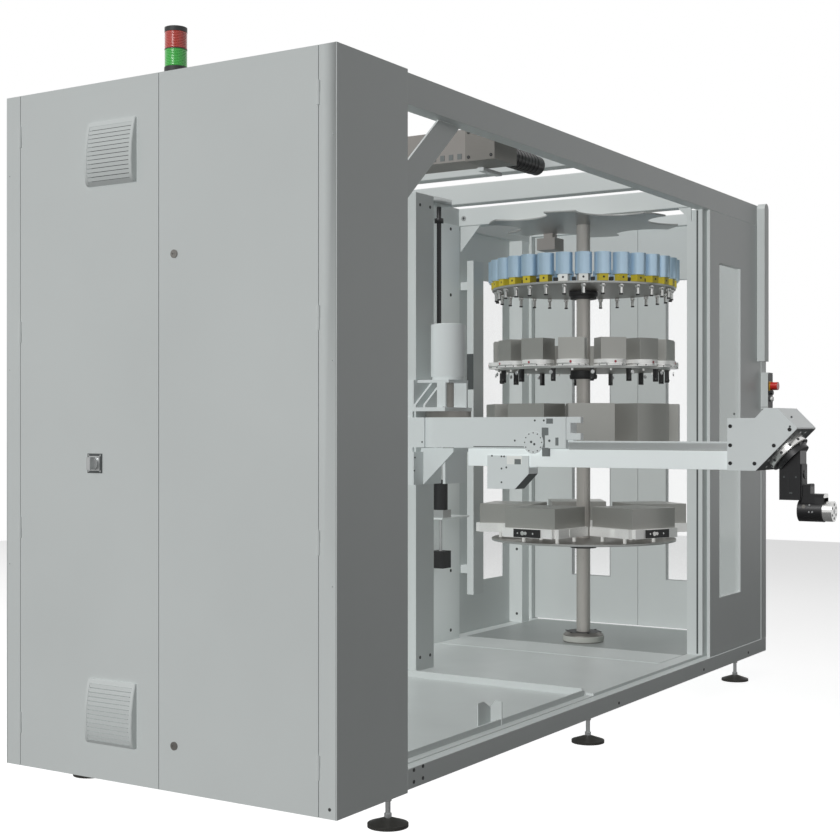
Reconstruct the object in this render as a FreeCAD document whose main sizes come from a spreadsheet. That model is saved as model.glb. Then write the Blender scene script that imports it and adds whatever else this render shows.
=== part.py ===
import FreeCAD, Part
import os
import re
import Sketcher
from FreeCAD import Placement, Rotation, Vector

# Palletizing robot cell. Millimetres, +Z up, origin on the floor under the magazine shaft.
# +X points out of the open side towards the machine tool, -Y towards the control cabinet.

SIZES = {
    # Enclosure
    "cell_width": 1340, "cell_length": 3654, "shell_height": 2200, "rear_reach": 677,
    "foot_height": 100, "sheet": 4, "cabinet_depth": 371, "corner_strip": 63,
    "door_gap": 2.5, "door_thick": 24, "door_fold": 30, "hinge_length": 70, "knuckle_radius": 5.5,
    "hinge_pin": 3,
    "rear_hinge_low": 260, "rear_hinge_top": 300,
    "air_gap": 0.3, "over": 1, "plate_margin": 120, "spacer_reach": 450, "spacer_radius": 12,
    "spacer_length": 20,
    "hinge_low": 141, "hinge_top": 136,
    "grille_side": 202, "grille_depth": 26, "grille_rim": 14, "grille_belly": 110, "grille_inset": 191,
    "grille_drop": 227, "grille_low": 215,
    "switch_inset": 267, "switch_rise": 997, "switch_plate": 62,
    "knob_radius": 20, "knob_depth": 7, "knob_grip": 16, "pin_radius": 6, "lock_slot": 4,
    "lock_inset": 64, "lock_drop": 561, "lock_low": 141, "lock_radius": 13,
    "beam_height": 97, "beam_width": 58, "roof_drop": 10,
    "sill_height": 64, "sill_lift": 8, "sill_width": 37, "rail_width": 42,
    "floor_rise": 84, "floor_step": 8, "floor_edge": -1220, "tie_width": 60,
    "post_size": 70, "side_panel_start": -79, "side_post_width": 74, "post_lip": 26, "panel_depth": 28,
    "wall_inset": 20, "lining_inset": 100, "lining_start": 300, "lining_end": -210, "rib_front": -1900,
    "rib_back": -1100, "guide_setback": 82, "guide_thick": 37, "guide_start": -100, "guide_width": 100,
    "guide_low": 199, "guide_length": 1652, "guide_arm": 40, "guide_arm_inset": 100,
    "inner_post": 443, "inner_post_width": 77,
    "pane_inset": 16, "pane_lap": 15,
    "window_low": 332, "window_drop": 338, "window_pane": 5,
    "side_window_start": 40, "side_window_end": 318, "left_window_start": 92, "left_window_end": 370,
    "rebate_depth": 15, "rebate_width": 29,
    "rear_window_inner": 156, "rear_window_outer": 376, "rear_door_thick": 34,
    "cross_beam_height": 89, "cross_beam_width": 60, "cross_beam_pitch": 614, "cross_beam_start": -140,
    "brace_length": 700, "brace_drop": 316, "brace_width": 88, "brace_thick": 8, "brace_setback": 40,
    "handle_inset": 40, "handle_rise": 900, "handle_pitch": 200, "handle_radius": 9, "handle_reach": 34,
    "foot_disc": 63, "foot_pad": 10, "foot_cone": 16, "foot_stem": 8, "foot_inset": 50,
    "front_foot": 337, "middle_foot": 1921, "rear_foot": 303,
    # Signal tower and operator box
    "tower_x": -68, "tower_setback": 155, "tower_radius": 35, "tower_base": 54,
    "tower_lens": 57, "tower_cap": 13,
    "box_width": 72, "box_height": 179, "box_rise": 1200, "box_depth": 36, "box_setback": 5,
    "duct_width": 59, "duct_depth": 38, "duct_rise": 1432, "duct_setback": 73,
    "estop_radius": 20, "estop_head": 34, "estop_drop": 66, "start_drop": 98, "stop_drop": 129,
    "button_radius": 11, "button_head": 9, "button_travel": 4, "stem_radius": 8, "stem_depth": 20,
    # Robot
    "column_x": -275, "column_y": -1090, "column_width": 120, "column_depth": 144,
    "guide_rail": 20, "rail_inset": 50, "rail_depth": 14, "arm_axis_x": -100, "arm_width": 220,
    "arm_height": 124,
    "arm_level": 1190, "arm_reach": 604, "arm_nose": 96, "arm_shoulder": 200, "bearing_gap": 26,
    "carriage_plate": 16, "motor_radius": 73, "motor_height": 232, "motor_stand": 131,
    "swivel_radius": 24, "running_gap": 0.05, "gusset_drop": 158, "rib_thick": 10, "shoe_gap": 14.5,
    "beam_gap": 3, "beam_section": 71, "beam_depth": 58, "beam_wall": 5, "beam_start": 53,
    "rail_height": 27, "rail_setback": 14, "slot_setback": 6, "runner_length": 80, "runner_pitch": 95,
    "cover_height": 6, "fork_length": 62, "belt_box_start": 148, "belt_box_end": 337,
    "belt_box_drop": 88, "belt_box_bevel": 62,
    "head_start": 1163, "head_length": 260, "head_depth": 222, "head_height": 228, "head_shoulder": 36,
    "face_reach": 184, "face_rise": 76,
    "head_neck": 105, "head_bevel": 71, "screw_radius": 7, "screw_rise": 3, "hub_step": 14, "hub_depth": 22,
    "step_length": 34, "step_high": 56, "arm_thick": 24, "saddle_length": 84, "face_length": 37,
    "bolt_depth": 36,
    "wrist_ring": 80, "ring_height": 26, "wrist_width": 74,
    "wrist_length": 78, "wrist_foot": 946, "wrist_start": 1334, "gripper_radius": 39,
    "gripper_start": 1399, "gripper_length": 126, "clamp_radius": 10,
    "lift_rod_radius": 10, "lift_rod_offset": 107, "lift_rod_length": 1171, "collar_drop": 100,
    "lift_motor_radius": 36, "lift_motor_length": 270, "gear_start": 420, "gear_length": 120,
    "gear_setback": 1082,
    "gear_width": 165, "gear_drop": 40, "terminal_length": 270,
    "service_start": -530, "service_width": 250, "service_level": 780, "service_reach": 96,
    "service_motor": 36, "service_inset": 43,
    "service_hang": 149, "service_setback": 60, "weight_height": 80, "service_motor_height": 140,
    "cheek_inset": 4, "cheek_thick": 14, "web_gap": 1, "web_thick": 12, "shelf_gap": 4, "shelf_reach": 45,
    "stand_reach": 50,
    "tie_setback": 12, "tie_lead": 24, "tie_end": 147, "tie_tail": 47, "tie_foot": 4, "gusset_foot": 12,
    "apron_thick": 10, "apron_reach": 64,
    "stand_thick": 12, "stand_half": 80, "stand_rib": 66, "stand_end": 56, "stand_toe": 20,
    "shoe_inset": 10, "shoe_length": 90, "shoe_low": 20,
    "shoe_high": 110,
    "slide_gap": 0.3, "motor_neck": 6, "motor_collar": 14,
    "beam_inset": 14, "head_lead": 1, "bearing_step": 14, "fork_inset": 4, "fork_depth": 24, "fork_wall": 18,
    "fork_low_wall": 26, "fork_high_wall": 24, "belt_inset": 10, "lip_thick": 8, "lip_height": 44,
    "box_end": 12, "tube_end": 30, "rail_start": 4, "cover_inset": 9,
    # Magazine
    "shaft_radius": 33, "shaft_drop": 11, "bearing_radius": 96, "bearing_height": 50,
    "star_radius": 455, "star_drop": 13, "star_sheet": 8, "star_bite": 170, "bite_reach": 30,
    "bite_count": 6,
    "bite_phase": 12,
    "disc_sheet": 10, "hub_radius": 62, "hub_height": 38,
    "tool_count": 30, "tool_circle": 417, "tool_radius": 38.5, "tool_height": 99,
    "tool_drop": 277, "tool_phase": -88.2, "holder_height": 31, "stud_length": 46, "holder_width": 42,
    "holder_depth": 48, "stud_radius": 8,
    "round_count": 14, "round_circle": 380, "round_radius": 74, "round_drop": 413,
    "round_phase": -97.2, "round_height": 30, "round_block": 120, "round_block_depth": 98,
    "round_block_height": 99, "clamp_start": 6,
    "clamp_long": 20, "clamp_wide": 16, "clamp_drop": 58,
    "large_count": 9, "large_circle": 372, "large_drop": 382, "large_phase": -99.6,
    "large_pallet": 204, "large_pallet_depth": 158, "large_height": 32, "large_block": 208,
    "large_block_depth": 162, "large_block_height": 180,
    "square_count": 5, "square_circle": 345, "square_drop": 398, "square_phase": -94.7,
    "square_pallet": 304, "square_height": 42, "square_block_height": 92,
    "square_block": 266, "square_disc": 439, "pin_height": 28, "pallet_pin": 9, "pin_spread": 90,
    "pin_inner": 110, "pin_outer": 40, "corner_cut": 22, "slot_plate": 140, "slot_plate_thick": 8,
    "slot_plate_gap": 2,
    "tool_disc": 437, "round_disc": 411, "large_disc": 415, "bearing_rim": 15, "drive_x": -277,
    "drive_y": 195,
    "drive_size": 50, "drive_drop": 85, "strap_reach": 170, "strap_width": 60, "strap_length": 200,
}

doc = FreeCAD.newDocument("PalletizingRobot")
sheet = doc.addObject("Spreadsheet::Sheet", "Sizes")
for row, (alias, value) in enumerate(SIZES.items(), start=1):
    sheet.set(f"A{row}", alias.replace("_", " "))
    sheet.set(f"B{row}", str(value))
    sheet.setAlias(f"B{row}", alias)
doc.recompute()

PIECES = {}
DIAGONAL = 0.70710678
TURNED = {
    "z": Rotation(),
    "x": Rotation(Vector(0, 1, 0), 90),
    "y": Rotation(Vector(1, 0, 0), -90),
    "face": Rotation(Vector(0, 1, 0), 135),
}


def count(alias):
    return int(float(sheet.get(alias)))


def bind(obj, prop, text):
    """Tie a property to sheet cells, whose aliases stand bare in the text."""
    names = re.sub(r"[a-z_]+", lambda m: "Sizes." + m.group() if m.group() in SIZES else m.group(),
                   str(text))
    obj.setExpression(prop, names)


def place(obj, x, y, z, rotation=None):
    obj.Placement = Placement(Vector(), rotation or Rotation())
    for axis, text in zip("xyz", (x, y, z)):
        bind(obj, f"Placement.Base.{axis}", text)
    return obj


def block(x, y, z):
    """A box from three (low, high) pairs."""
    box = doc.addObject("Part::Box", "Block")
    for prop, (low, high) in zip(("Length", "Width", "Height"), (x, y, z)):
        bind(box, prop, f"({high}) - ({low})")
    return place(box, x[0], y[0], z[0])


def rod(x, y, z, radius, length, axis="z"):
    """A round bar that starts at a point and runs along one axis."""
    bar = doc.addObject("Part::Cylinder", "Rod")
    bind(bar, "Radius", radius)
    bind(bar, "Height", length)
    return place(bar, x, y, z, TURNED[axis])


def cone(x, y, z, low_radius, high_radius, length, axis="z"):
    tip = doc.addObject("Part::Cone", "Cone")
    bind(tip, "Radius1", low_radius)
    bind(tip, "Radius2", high_radius)
    bind(tip, "Height", length)
    return place(tip, x, y, z, TURNED[axis])


def wedge(x, y, z, toe):
    """A rib that is "toe" high at its front and rises to its full height at the back."""
    rib = doc.addObject("Part::Wedge", "Rib")
    for prop in ("Xmin", "Ymin", "Zmin", "X2min", "Z2min"):
        setattr(rib, prop, 0)
    bind(rib, "Ymax", f"({y[1]}) - ({y[0]})")
    bind(rib, "Xmax", f"({x[1]}) - ({x[0]})")
    bind(rib, "X2max", f"({x[1]}) - ({x[0]})")
    bind(rib, "Zmax", toe)
    bind(rib, "Z2max", f"({z[1]}) - ({z[0]})")
    return place(rib, x[0], y[0], z[0])


def turned_box(x, z, y, angle, out_low, out_high, along_low, along_high):
    """A box turned about Y: "out" runs along the direction at this angle from +Z, "along" across it."""
    box = doc.addObject("Part::Box", "Turned")
    bind(box, "Height", f"({out_high}) - ({out_low})")
    bind(box, "Length", f"({along_high}) - ({along_low})")
    bind(box, "Width", f"({y[1]}) - ({y[0]})")
    turn = Rotation(Vector(0, 1, 0), angle)
    out, along = turn.multVec(Vector(0, 0, 1)), turn.multVec(Vector(1, 0, 0))
    return place(box, f"({x}) + ({out_low}) * {out.x:.8f} + ({along_low}) * {along.x:.8f}", y[0],
                 f"({z}) + ({out_low}) * {out.z:.8f} + ({along_low}) * {along.z:.8f}", turn)


def gusset(x, y, z):
    """A triangular plate under a shelf, narrow at its foot and the full width at its top."""
    rib = doc.addObject("Part::Wedge", "Gusset")
    for prop in ("Xmin", "Ymin", "Zmin", "X2min", "Z2min"):
        setattr(rib, prop, 0)
    bind(rib, "Ymax", f"({z[1]}) - ({z[0]})")
    bind(rib, "Xmax", "gusset_foot")
    bind(rib, "X2max", f"({x[1]}) - ({x[0]})")
    bind(rib, "Zmax", f"({y[1]}) - ({y[0]})")
    bind(rib, "Z2max", f"({y[1]}) - ({y[0]})")
    return place(rib, x[0], y[1], z[0], Rotation(Vector(1, 0, 0), 90))


def radial_block(angle, inner, outer, width, low, high):
    """A box that points away from the magazine shaft at an angle."""
    box = doc.addObject("Part::Box", "Radial")
    bind(box, "Length", f"({outer}) - ({inner})")
    bind(box, "Width", width)
    bind(box, "Height", f"({high}) - ({low})")
    place(box, f"({inner}) * cos({angle}) + ({width}) / 2 * sin({angle})",
          f"({inner}) * sin({angle}) - ({width}) / 2 * cos({angle})", low, Rotation(Vector(0, 0, 1), 10))
    bind(box, "Placement.Rotation.Angle", angle)
    return box


def radial_rod(angle, distance, low, radius, length):
    return rod(f"({distance}) * cos({angle})", f"({distance}) * sin({angle})", low, radius, length)


def group(solids, kind="Part::Compound"):
    if len(solids) == 1:
        return solids[0]
    made = doc.addObject(kind, "Group")
    if kind == "Part::Compound":
        made.Links = solids
    else:
        made.Shapes = solids
    return made


def piece(label, solids, holes=(), joined=False):
    """One named sub-part: separate solids, or one joined solid, less its holes."""
    body = group(solids, "Part::MultiFuse" if joined else "Part::Compound")
    if holes:
        cut = doc.addObject("Part::Cut", "Bored")
        cut.Base = body
        cut.Tool = group(list(holes))
        body = cut
    body.Label = label
    PIECES[label] = body
    return body


def ring_sketch(body, radii):
    """Concentric circles on the body's ground plane, each radius tied to the sheet."""
    sketch = body.newObject("Sketcher::SketchObject", "Outline")
    ground = [f for f in body.Origin.OriginFeatures if f.Role == "XY_Plane"][0]
    sketch.AttachmentSupport = [(ground, "")]
    sketch.MapMode = "FlatFace"
    for index, radius in enumerate(radii):
        sketch.addGeometry(Part.Circle(Vector(), Vector(0, 0, 1), 10 + index), False)
        sketch.addConstraint(Sketcher.Constraint("Coincident", index, 3, -1, 1))
        sketch.addConstraint(Sketcher.Constraint("Radius", index, 10 + index))
        bind(sketch, f"Constraints[{2 * index + 1}]", radius)
    return sketch


def turned_plate(label, outer, bore, thickness, low):
    """A round plate on the shaft."""
    body = doc.addObject("PartDesign::Body", label)
    pad = body.newObject("PartDesign::Pad", "Plate")
    pad.Profile = ring_sketch(body, (outer, bore))
    bind(pad, "Length", thickness)
    return place(body, 0, 0, low)


def cut_bites(body, radius, circle):
    """Cut a ring of round bites into a plate's rim."""
    doc.recompute()
    ground = [f for f in body.Origin.OriginFeatures if f.Role == "XY_Plane"][0]
    sketch = body.newObject("Sketcher::SketchObject", "Hole")
    sketch.AttachmentSupport = [(ground, "")]
    sketch.MapMode = "FlatFace"
    start, size = SIZES["star_radius"], SIZES["star_bite"]
    sketch.addGeometry(Part.Circle(Vector(start, 0, 0), Vector(0, 0, 1), size), False)
    sketch.addConstraint(Sketcher.Constraint("PointOnObject", 0, 3, -1))
    sketch.addConstraint(Sketcher.Constraint("DistanceX", -1, 1, 0, 3, start))
    sketch.addConstraint(Sketcher.Constraint("Radius", 0, size))
    bind(sketch, "Constraints[1]", circle)
    bind(sketch, "Constraints[2]", radius)
    pocket = body.newObject("PartDesign::Pocket", "Bite")
    pocket.Profile = sketch
    pocket.Type = 1
    pocket.Midplane = True
    pattern = body.newObject("PartDesign::PolarPattern", "Bites")
    pattern.Originals = [pocket]
    pattern.Axis = (sketch, ["N_Axis"])
    pattern.Angle = 360
    pattern.Occurrences = count("bite_count")
    body.Tip = pattern
    body.Placement = Placement(body.Placement.Base, Rotation(Vector(0, 0, 1), SIZES["bite_phase"]))


# Places that several sub-parts share
SIDE = "cell_width / 2"
REAR = "rear_reach"
FRONT = "rear_reach - cell_length"
BASE = "foot_height"
TOP = "foot_height + shell_height"
CABINET_BACK = f"{FRONT} + cabinet_depth"
DOOR_BACK = f"{FRONT} + door_thick"
FLOOR = "foot_height + floor_rise"
ROOF = f"{TOP} - roof_drop"
BEAM_LOW = f"{ROOF} - beam_height"
CROSS_LOW = f"{ROOF} - cross_beam_height"
INNER = f"{SIDE} - beam_width"
WINDOW = ("foot_height + window_low", f"{TOP} - window_drop")
SILL_TOP = f"{BASE} + sill_lift + sill_height"
CROSS_Y = [f"(cross_beam_start - {k} * cross_beam_pitch)" for k in range(3)]
GRILLES = ("shell_height - grille_drop", "grille_low")
STAR_LEVEL = f"{CROSS_LOW} - star_drop - star_sheet"
FEET_Y = (f"{FRONT} + front_foot", f"{REAR} - middle_foot", f"{REAR} - rear_foot")
BOTH = (-1, 1)
BRACE_TILT = 40.8
# Width start, width, rise, height and depth of each unit on the mounting plate
GEAR_BOXES = ((-560, 260, 1500, 380, 150), (-240, 520, 1540, 300, 120), (330, 220, 1500, 400, 170),
              (-560, 1100, 1250, 90, 70), (-560, 420, 700, 420, 160), (-80, 620, 720, 380, 130),
              (-560, 1100, 480, 90, 70))


def mirror_pair(sign, low, high):
    """An X range, mirrored to the -X side for a negative sign."""
    return (low, high) if sign > 0 else (f"-({high})", f"-({low})")


def hinge_line(x, y, lows):
    """Hinges on one upright axis: knuckles on the frame and the leaf, room for each, and pins."""
    parts = {"spots": [(x, y, low) for low in lows], "frame": [], "leaf": [], "frame_room": [],
             "leaf_room": [], "pins": []}
    middle = "hinge_length / 2"
    for low in lows:
        parts["frame"].append(rod(x, y, low, "knuckle_radius", f"{middle} - air_gap"))
        parts["leaf"].append(rod(x, y, f"{low} + {middle}", "knuckle_radius", middle))
        parts["leaf_room"].append(rod(x, y, f"{low} - air_gap", "knuckle_radius + over / 2",
                                      f"{middle} + air_gap"))
        parts["frame_room"].append(rod(x, y, f"{low} + {middle} - air_gap", "knuckle_radius + over / 2",
                                       f"{middle} + air_gap * 2"))
        parts["pins"].append(rod(x, y, low, "hinge_pin", "hinge_length"))
    return parts


def knuckled(slab, side, hinges):
    """A leaf or a post with its own knuckles on, room for the others and bores for the pins."""
    cut = doc.addObject("Part::Cut", "Notched")
    cut.Base = slab
    cut.Tool = group(hinges[f"{side}_room"])
    bored = doc.addObject("Part::Cut", "Knuckled")
    bored.Base = group([cut] + hinges[side], "Part::MultiFuse")
    gap = "0" if side == "frame" else "running_gap"
    bored.Tool = group([rod(x, y, f"{low} - over", f"hinge_pin + {gap}", "hinge_length + over * 2") for x, y,
                        low in hinges["spots"]])
    return bored


DOOR_LOWS = [f"{BASE} + hinge_low + {k} * (shell_height - hinge_low - hinge_top) / 3 - hinge_length / 2"
             for k in range(4)]
REAR_LOWS = [f"{BASE} + rear_hinge_low + {k} * (shell_height - rear_hinge_low - rear_hinge_top) / 2"
             for k in range(3)]
DOOR_HINGES = {s: hinge_line(f"{s} * ({SIDE} - corner_strip - door_gap / 2)", FRONT,
                             DOOR_LOWS) for s in BOTH}
REAR_HINGES = {s: hinge_line(f"{s} * ({SIDE} - post_size - over)", REAR, REAR_LOWS) for s in BOTH}


# Control cabinet
def cabinet():
    depth = (f"{DOOR_BACK} + door_gap", CABINET_BACK)
    sides = [block(mirror_pair(s, f"{SIDE} - sheet", SIDE), (FRONT, CABINET_BACK),
                   (BASE, TOP)) for s in BOTH]
    strips = []
    for sign in BOTH:
        strip = block(mirror_pair(sign, f"{SIDE} - corner_strip", f"{SIDE} - sheet"), (FRONT, DOOR_BACK),
                      (BASE, TOP))
        strips.append(knuckled(strip, "frame", DOOR_HINGES[sign]))
    piece("cabinet_sides", sides + strips)
    piece("door_hinges",
          [pin for sign in BOTH for pin in DOOR_HINGES[sign]["pins"] + REAR_HINGES[sign]["pins"]])
    inside = (f"sheet - {SIDE}", f"{SIDE} - sheet")
    piece("cabinet_panels",
          [block(inside, depth, (f"{TOP} - sheet", TOP)), block(inside, depth, (BASE, f"{BASE} + sheet")),
                             block(inside, (f"{CABINET_BACK} - sheet", CABINET_BACK),
                                   (f"{BASE} + sheet", f"{TOP} - sheet"))])
    back = f"{CABINET_BACK} - sheet"
    plate_back = f"{back} - spacer_length"
    plate_front = f"{plate_back} - sheet"
    gear = [rod(f"{s} * spacer_reach", plate_back, z, "spacer_radius", "spacer_length", "y")
            for s in BOTH for z in (f"{BASE} + plate_margin * 2", f"{TOP} - plate_margin * 2")]
    gear.append(block((f"plate_margin - {SIDE}", f"{SIDE} - plate_margin"), (plate_front, plate_back),
                      (f"{BASE} + plate_margin", f"{TOP} - plate_margin")))
    for x, wide, low, tall, deep in GEAR_BOXES:
        gear.append(block((x, f"{x} + {wide}"), (f"{plate_front} - {deep}", plate_front),
                          (f"{BASE} + {low}", f"{BASE} + {low} + {tall}")))
    piece("control_gear", gear)


def front_doors():
    doors = (("left_door", f"corner_strip + door_gap - {SIDE}", "0 - door_gap / 2"),
             ("right_door", "door_gap / 2", f"{SIDE} - corner_strip - door_gap"))
    half = "(grille_side / 2 - grille_rim)"
    for label, low, high in doors:
        leaf = block((low, high), (FRONT, DOOR_BACK), (BASE, TOP))
        holes = [block((f"{low} + door_fold", f"{high} - door_fold"),
                       (f"{FRONT} + sheet", f"{DOOR_BACK} + over"),
                       (f"{BASE} + door_fold", f"{TOP} - door_fold"))]
        if label == "left_door":
            holes += [block((f"0 - grille_inset - {half}", f"{half} - grille_inset"),
                            (f"{FRONT} - over", f"{DOOR_BACK} + over"),
                           (f"{BASE} + {rise} - {half}", f"{BASE} + {rise} + {half}")) for rise in GRILLES]
        piece(label, [knuckled(leaf, "leaf", DOOR_HINGES[-1 if label == "left_door" else 1])], holes)
    grilles, windows = [], []
    for rise in GRILLES:
        x = "0 - grille_inset - grille_side / 2"
        z = f"{BASE} + {rise} - grille_side / 2"
        rim = block((x, f"{x} + grille_side"), (f"{FRONT} - sheet * 2", FRONT), (z, f"{z} + grille_side"))
        belly = wedge((f"{x} + sheet", f"{x} + grille_side - sheet"),
                      (f"{FRONT} - grille_depth", f"{FRONT} - sheet"),
                      (f"{z} + sheet", f"{z} + grille_side - sheet"), "grille_belly")
        grilles.append(group([rim, belly], "Part::MultiFuse"))
        windows.append(block((f"{x} + grille_rim * 2", f"{x} + grille_side - grille_rim * 2"),
                             (f"{FRONT} - sheet", f"{FRONT} + over"),
                             (f"{z} + grille_rim * 2", f"{z} + grille_side - grille_rim * 2")))
    piece("filter_grilles", grilles, windows)


def cabinet_fittings():
    centre = "0 - switch_inset"
    level = f"{BASE} + switch_rise"
    plate = block((f"{centre} - switch_plate / 2", f"{centre} + switch_plate / 2"),
                  (f"{FRONT} - sheet", FRONT),
                  (f"{level} - switch_plate / 2", f"{level} + switch_plate / 2"))
    piece("switch_plate", [plate],
          [rod(centre, f"{FRONT} - sheet - over", level, "pin_radius + running_gap", "sheet + over * 2",
               "y")])
    face = f"{FRONT} - sheet - air_gap"
    knob = [rod(centre, f"{face} - knob_depth", level, "knob_radius", "knob_depth", "y"),
            block((f"{centre} - knob_grip / 2", f"{centre} + knob_grip / 2"),
                  (f"{face} - knob_depth * 4", f"{face} - knob_depth"),
                  (f"{level} - knob_radius", f"{level} + knob_radius")),
            rod(centre, face, level, "pin_radius", "sheet", "y")]
    piece("main_switch_handle", knob, joined=True)
    for label, rise in (("upper_lock", "shell_height - lock_drop"), ("lower_lock", "lock_low")):
        level = f"{BASE} + {rise}"
        front = f"{FRONT} - sheet"
        slot = block(("lock_inset - lock_radius / 2", "lock_inset + lock_radius / 2"),
                     (f"{front} - over", f"{front} + sheet / 2"),
                     (f"{level} - lock_slot / 2", f"{level} + lock_slot / 2"))
        piece(label, [rod("lock_inset", front, level, "lock_radius", "sheet - air_gap", "y")], [slot])


def signal_tower():
    y = f"{FRONT} + tower_setback"
    levels = (TOP, f"{TOP} + tower_base", f"{TOP} + tower_base + tower_lens",
              f"{TOP} + tower_base + tower_lens * 2")
    piece("tower_body", [rod("tower_x", y, levels[0], "tower_radius + over * 2", "tower_base"),
                         rod("tower_x", y, levels[3], "tower_radius + over", "tower_cap")])
    piece("green_lens", [rod("tower_x", y, levels[1], "tower_radius", "tower_lens")])
    piece("red_lens", [rod("tower_x", y, levels[2], "tower_radius", "tower_lens")])


# Frame of the work space
def frame():
    z = (f"{BASE} + sill_lift", SILL_TOP)
    edge = "(sill_width + rail_width)"
    sills = [block(mirror_pair(s, f"{SIDE} - {edge}", SIDE), (CABINET_BACK, REAR), z) for s in BOTH]
    ends = [block((f"{edge} - {SIDE}", f"{SIDE} - {edge}"), (low, f"{low} + tie_width"), z)
            for low in (CABINET_BACK, f"{FEET_Y[1]} - tie_width / 2", "0 - tie_width / 2",
                        f"{REAR} - tie_width")]
    piece("base_frame", sills + ends)
    inner = (f"sill_width - {SIDE}", f"{SIDE} - sill_width")
    post_back = f"{REAR} - post_size - over"
    tray = [block(inner, (CABINET_BACK, "floor_edge"), (SILL_TOP, f"{FLOOR} - floor_step")),
            block(inner, ("floor_edge", post_back), (SILL_TOP, FLOOR)),
            block((f"post_size + over - {SIDE}", f"{SIDE} - post_size - over"),
                  (post_back, f"{REAR} - rear_door_thick - door_gap"),
                  (SILL_TOP, FLOOR))]
    piece("floor_tray", tray, joined=True)
    beams = [block(mirror_pair(s, INNER, SIDE), (CABINET_BACK, f"{REAR} - post_size"),
                   (BEAM_LOW, ROOF)) for s in BOTH]
    piece("roof_side_beams", beams)
    header = block((f"post_size - {SIDE}", f"{SIDE} - post_size"),
                   (f"{REAR} - post_size", f"{REAR} - rear_door_thick - door_gap"),
                   (f"{BEAM_LOW} + sill_width", ROOF))
    cross = [block((f"beam_width - {SIDE}", INNER), (CROSS_Y[k], f"{CROSS_Y[k]} + cross_beam_width"),
                   (CROSS_LOW, ROOF))
             for k in range(3)]
    piece("roof_cross_beams", cross + [header])
    posts = [knuckled(block(mirror_pair(s, f"{SIDE} - post_size", SIDE), (f"{REAR} - post_size", REAR),
                            (SILL_TOP, ROOF)),
                      "frame", REAR_HINGES[s]) for s in BOTH]
    start = "side_panel_start"
    posts.append(block((f"{SIDE} - side_post_width - panel_depth", f"{SIDE} - panel_depth"),
                       (f"{start} - post_lip", f"{start} - post_lip + post_size"), (FLOOR, BEAM_LOW)))
    piece("upright_posts", posts)
    braces = []
    for sign in BOTH:
        x = mirror_pair(sign, f"{SIDE} - brace_setback - brace_thick", f"{SIDE} - brace_setback")
        bar = block(x, (CABINET_BACK, f"{CABINET_BACK} + brace_length"),
                    (f"{BEAM_LOW} - brace_drop", f"{BEAM_LOW} - brace_drop + brace_width"))
        bar.Placement = Placement(Vector(), Rotation(Vector(1, 0, 0), BRACE_TILT))
        bind(bar, "Placement.Base.x", x[0])
        bind(bar, "Placement.Base.y", f"{CABINET_BACK} - brace_width")
        bind(bar, "Placement.Base.z", f"{BEAM_LOW} - brace_drop - brace_width")
        limit = block(x, (CABINET_BACK, f"{CABINET_BACK} + brace_length"),
                      (f"{BEAM_LOW} - brace_length", BEAM_LOW))
        trimmed = doc.addObject("Part::Common", "Brace")
        trimmed.Base = bar
        trimmed.Tool = limit
        braces.append(trimmed)
    piece("knee_braces", braces)


def side_walls():
    wall_x = (f"wall_inset - {SIDE}", f"wall_inset + sheet - {SIDE}")
    z = (FLOOR, BEAM_LOW)
    wall = block(wall_x, (f"{CABINET_BACK} + door_gap", f"{REAR} - post_size - door_gap"),
                 (SILL_TOP, BEAM_LOW))
    opening = block((f"{wall_x[0]} - over", f"{wall_x[1]} + over"), ("left_window_start", "left_window_end"),
                    WINDOW)
    lining_x = f"lining_inset - {SIDE}"
    lining = [block((lining_x, f"{lining_x} + sheet"), (f"{CABINET_BACK} + lining_start", "lining_end"), z)]
    lining += [block((wall_x[1], lining_x), (y, f"{y} + sill_width"), z) for y in ("rib_front", "rib_back",
                                                                                   "lining_end - sill_width")]
    lining.append(block((wall_x[1], lining_x), ("inner_post", "inner_post + inner_post_width"), z))
    guide_x = (f"guide_setback - {SIDE}", f"guide_setback + guide_thick - {SIDE}")
    guide_z = (f"{FLOOR} + guide_low", f"{FLOOR} + guide_low + guide_length")
    guide_y = ("guide_start", "guide_start + guide_width")
    lining.append(block(guide_x, guide_y, guide_z))
    lining += [block((wall_x[1], guide_x[0]), (f"{guide_y[0]} + sill_width", f"{guide_y[1]} - sheet"),
                     (low, f"{low} + guide_arm"))
               for low in (f"{guide_z[0]} + guide_arm_inset", f"{guide_z[1]} - guide_arm_inset - guide_arm")]
    piece("left_wall", [wall] + lining, [opening])
    panel = block((f"{SIDE} - panel_depth", f"{SIDE} - over * 2"),
                  ("side_panel_start", f"{REAR} - post_size - over"),
                  (f"{SILL_TOP} + over", f"{BEAM_LOW} - over"))
    rebate = block((f"{SIDE} - panel_depth - over", f"{SIDE} - panel_depth + rebate_depth"),
                   ("side_panel_start - over", "side_panel_start + rebate_width"), (SILL_TOP, BEAM_LOW))
    opening = block((f"{SIDE} - panel_depth - over", f"{SIDE} + over"),
                    ("side_window_start", "side_window_end"), WINDOW)
    piece("side_panel", [panel], [opening, rebate])
    pane_x = f"{SIDE} - pane_inset"
    frame_y = ("left_window_start - pane_lap", "left_window_end + pane_lap")
    piece("side_window_panes",
          [block((pane_x, f"{pane_x} + window_pane"), ("side_window_start", "side_window_end"), WINDOW),
                                block((f"{wall_x[0]} - window_pane", wall_x[0]), frame_y,
                                      (f"{WINDOW[0]} - pane_lap", f"{WINDOW[1]} + pane_lap"))])


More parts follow.
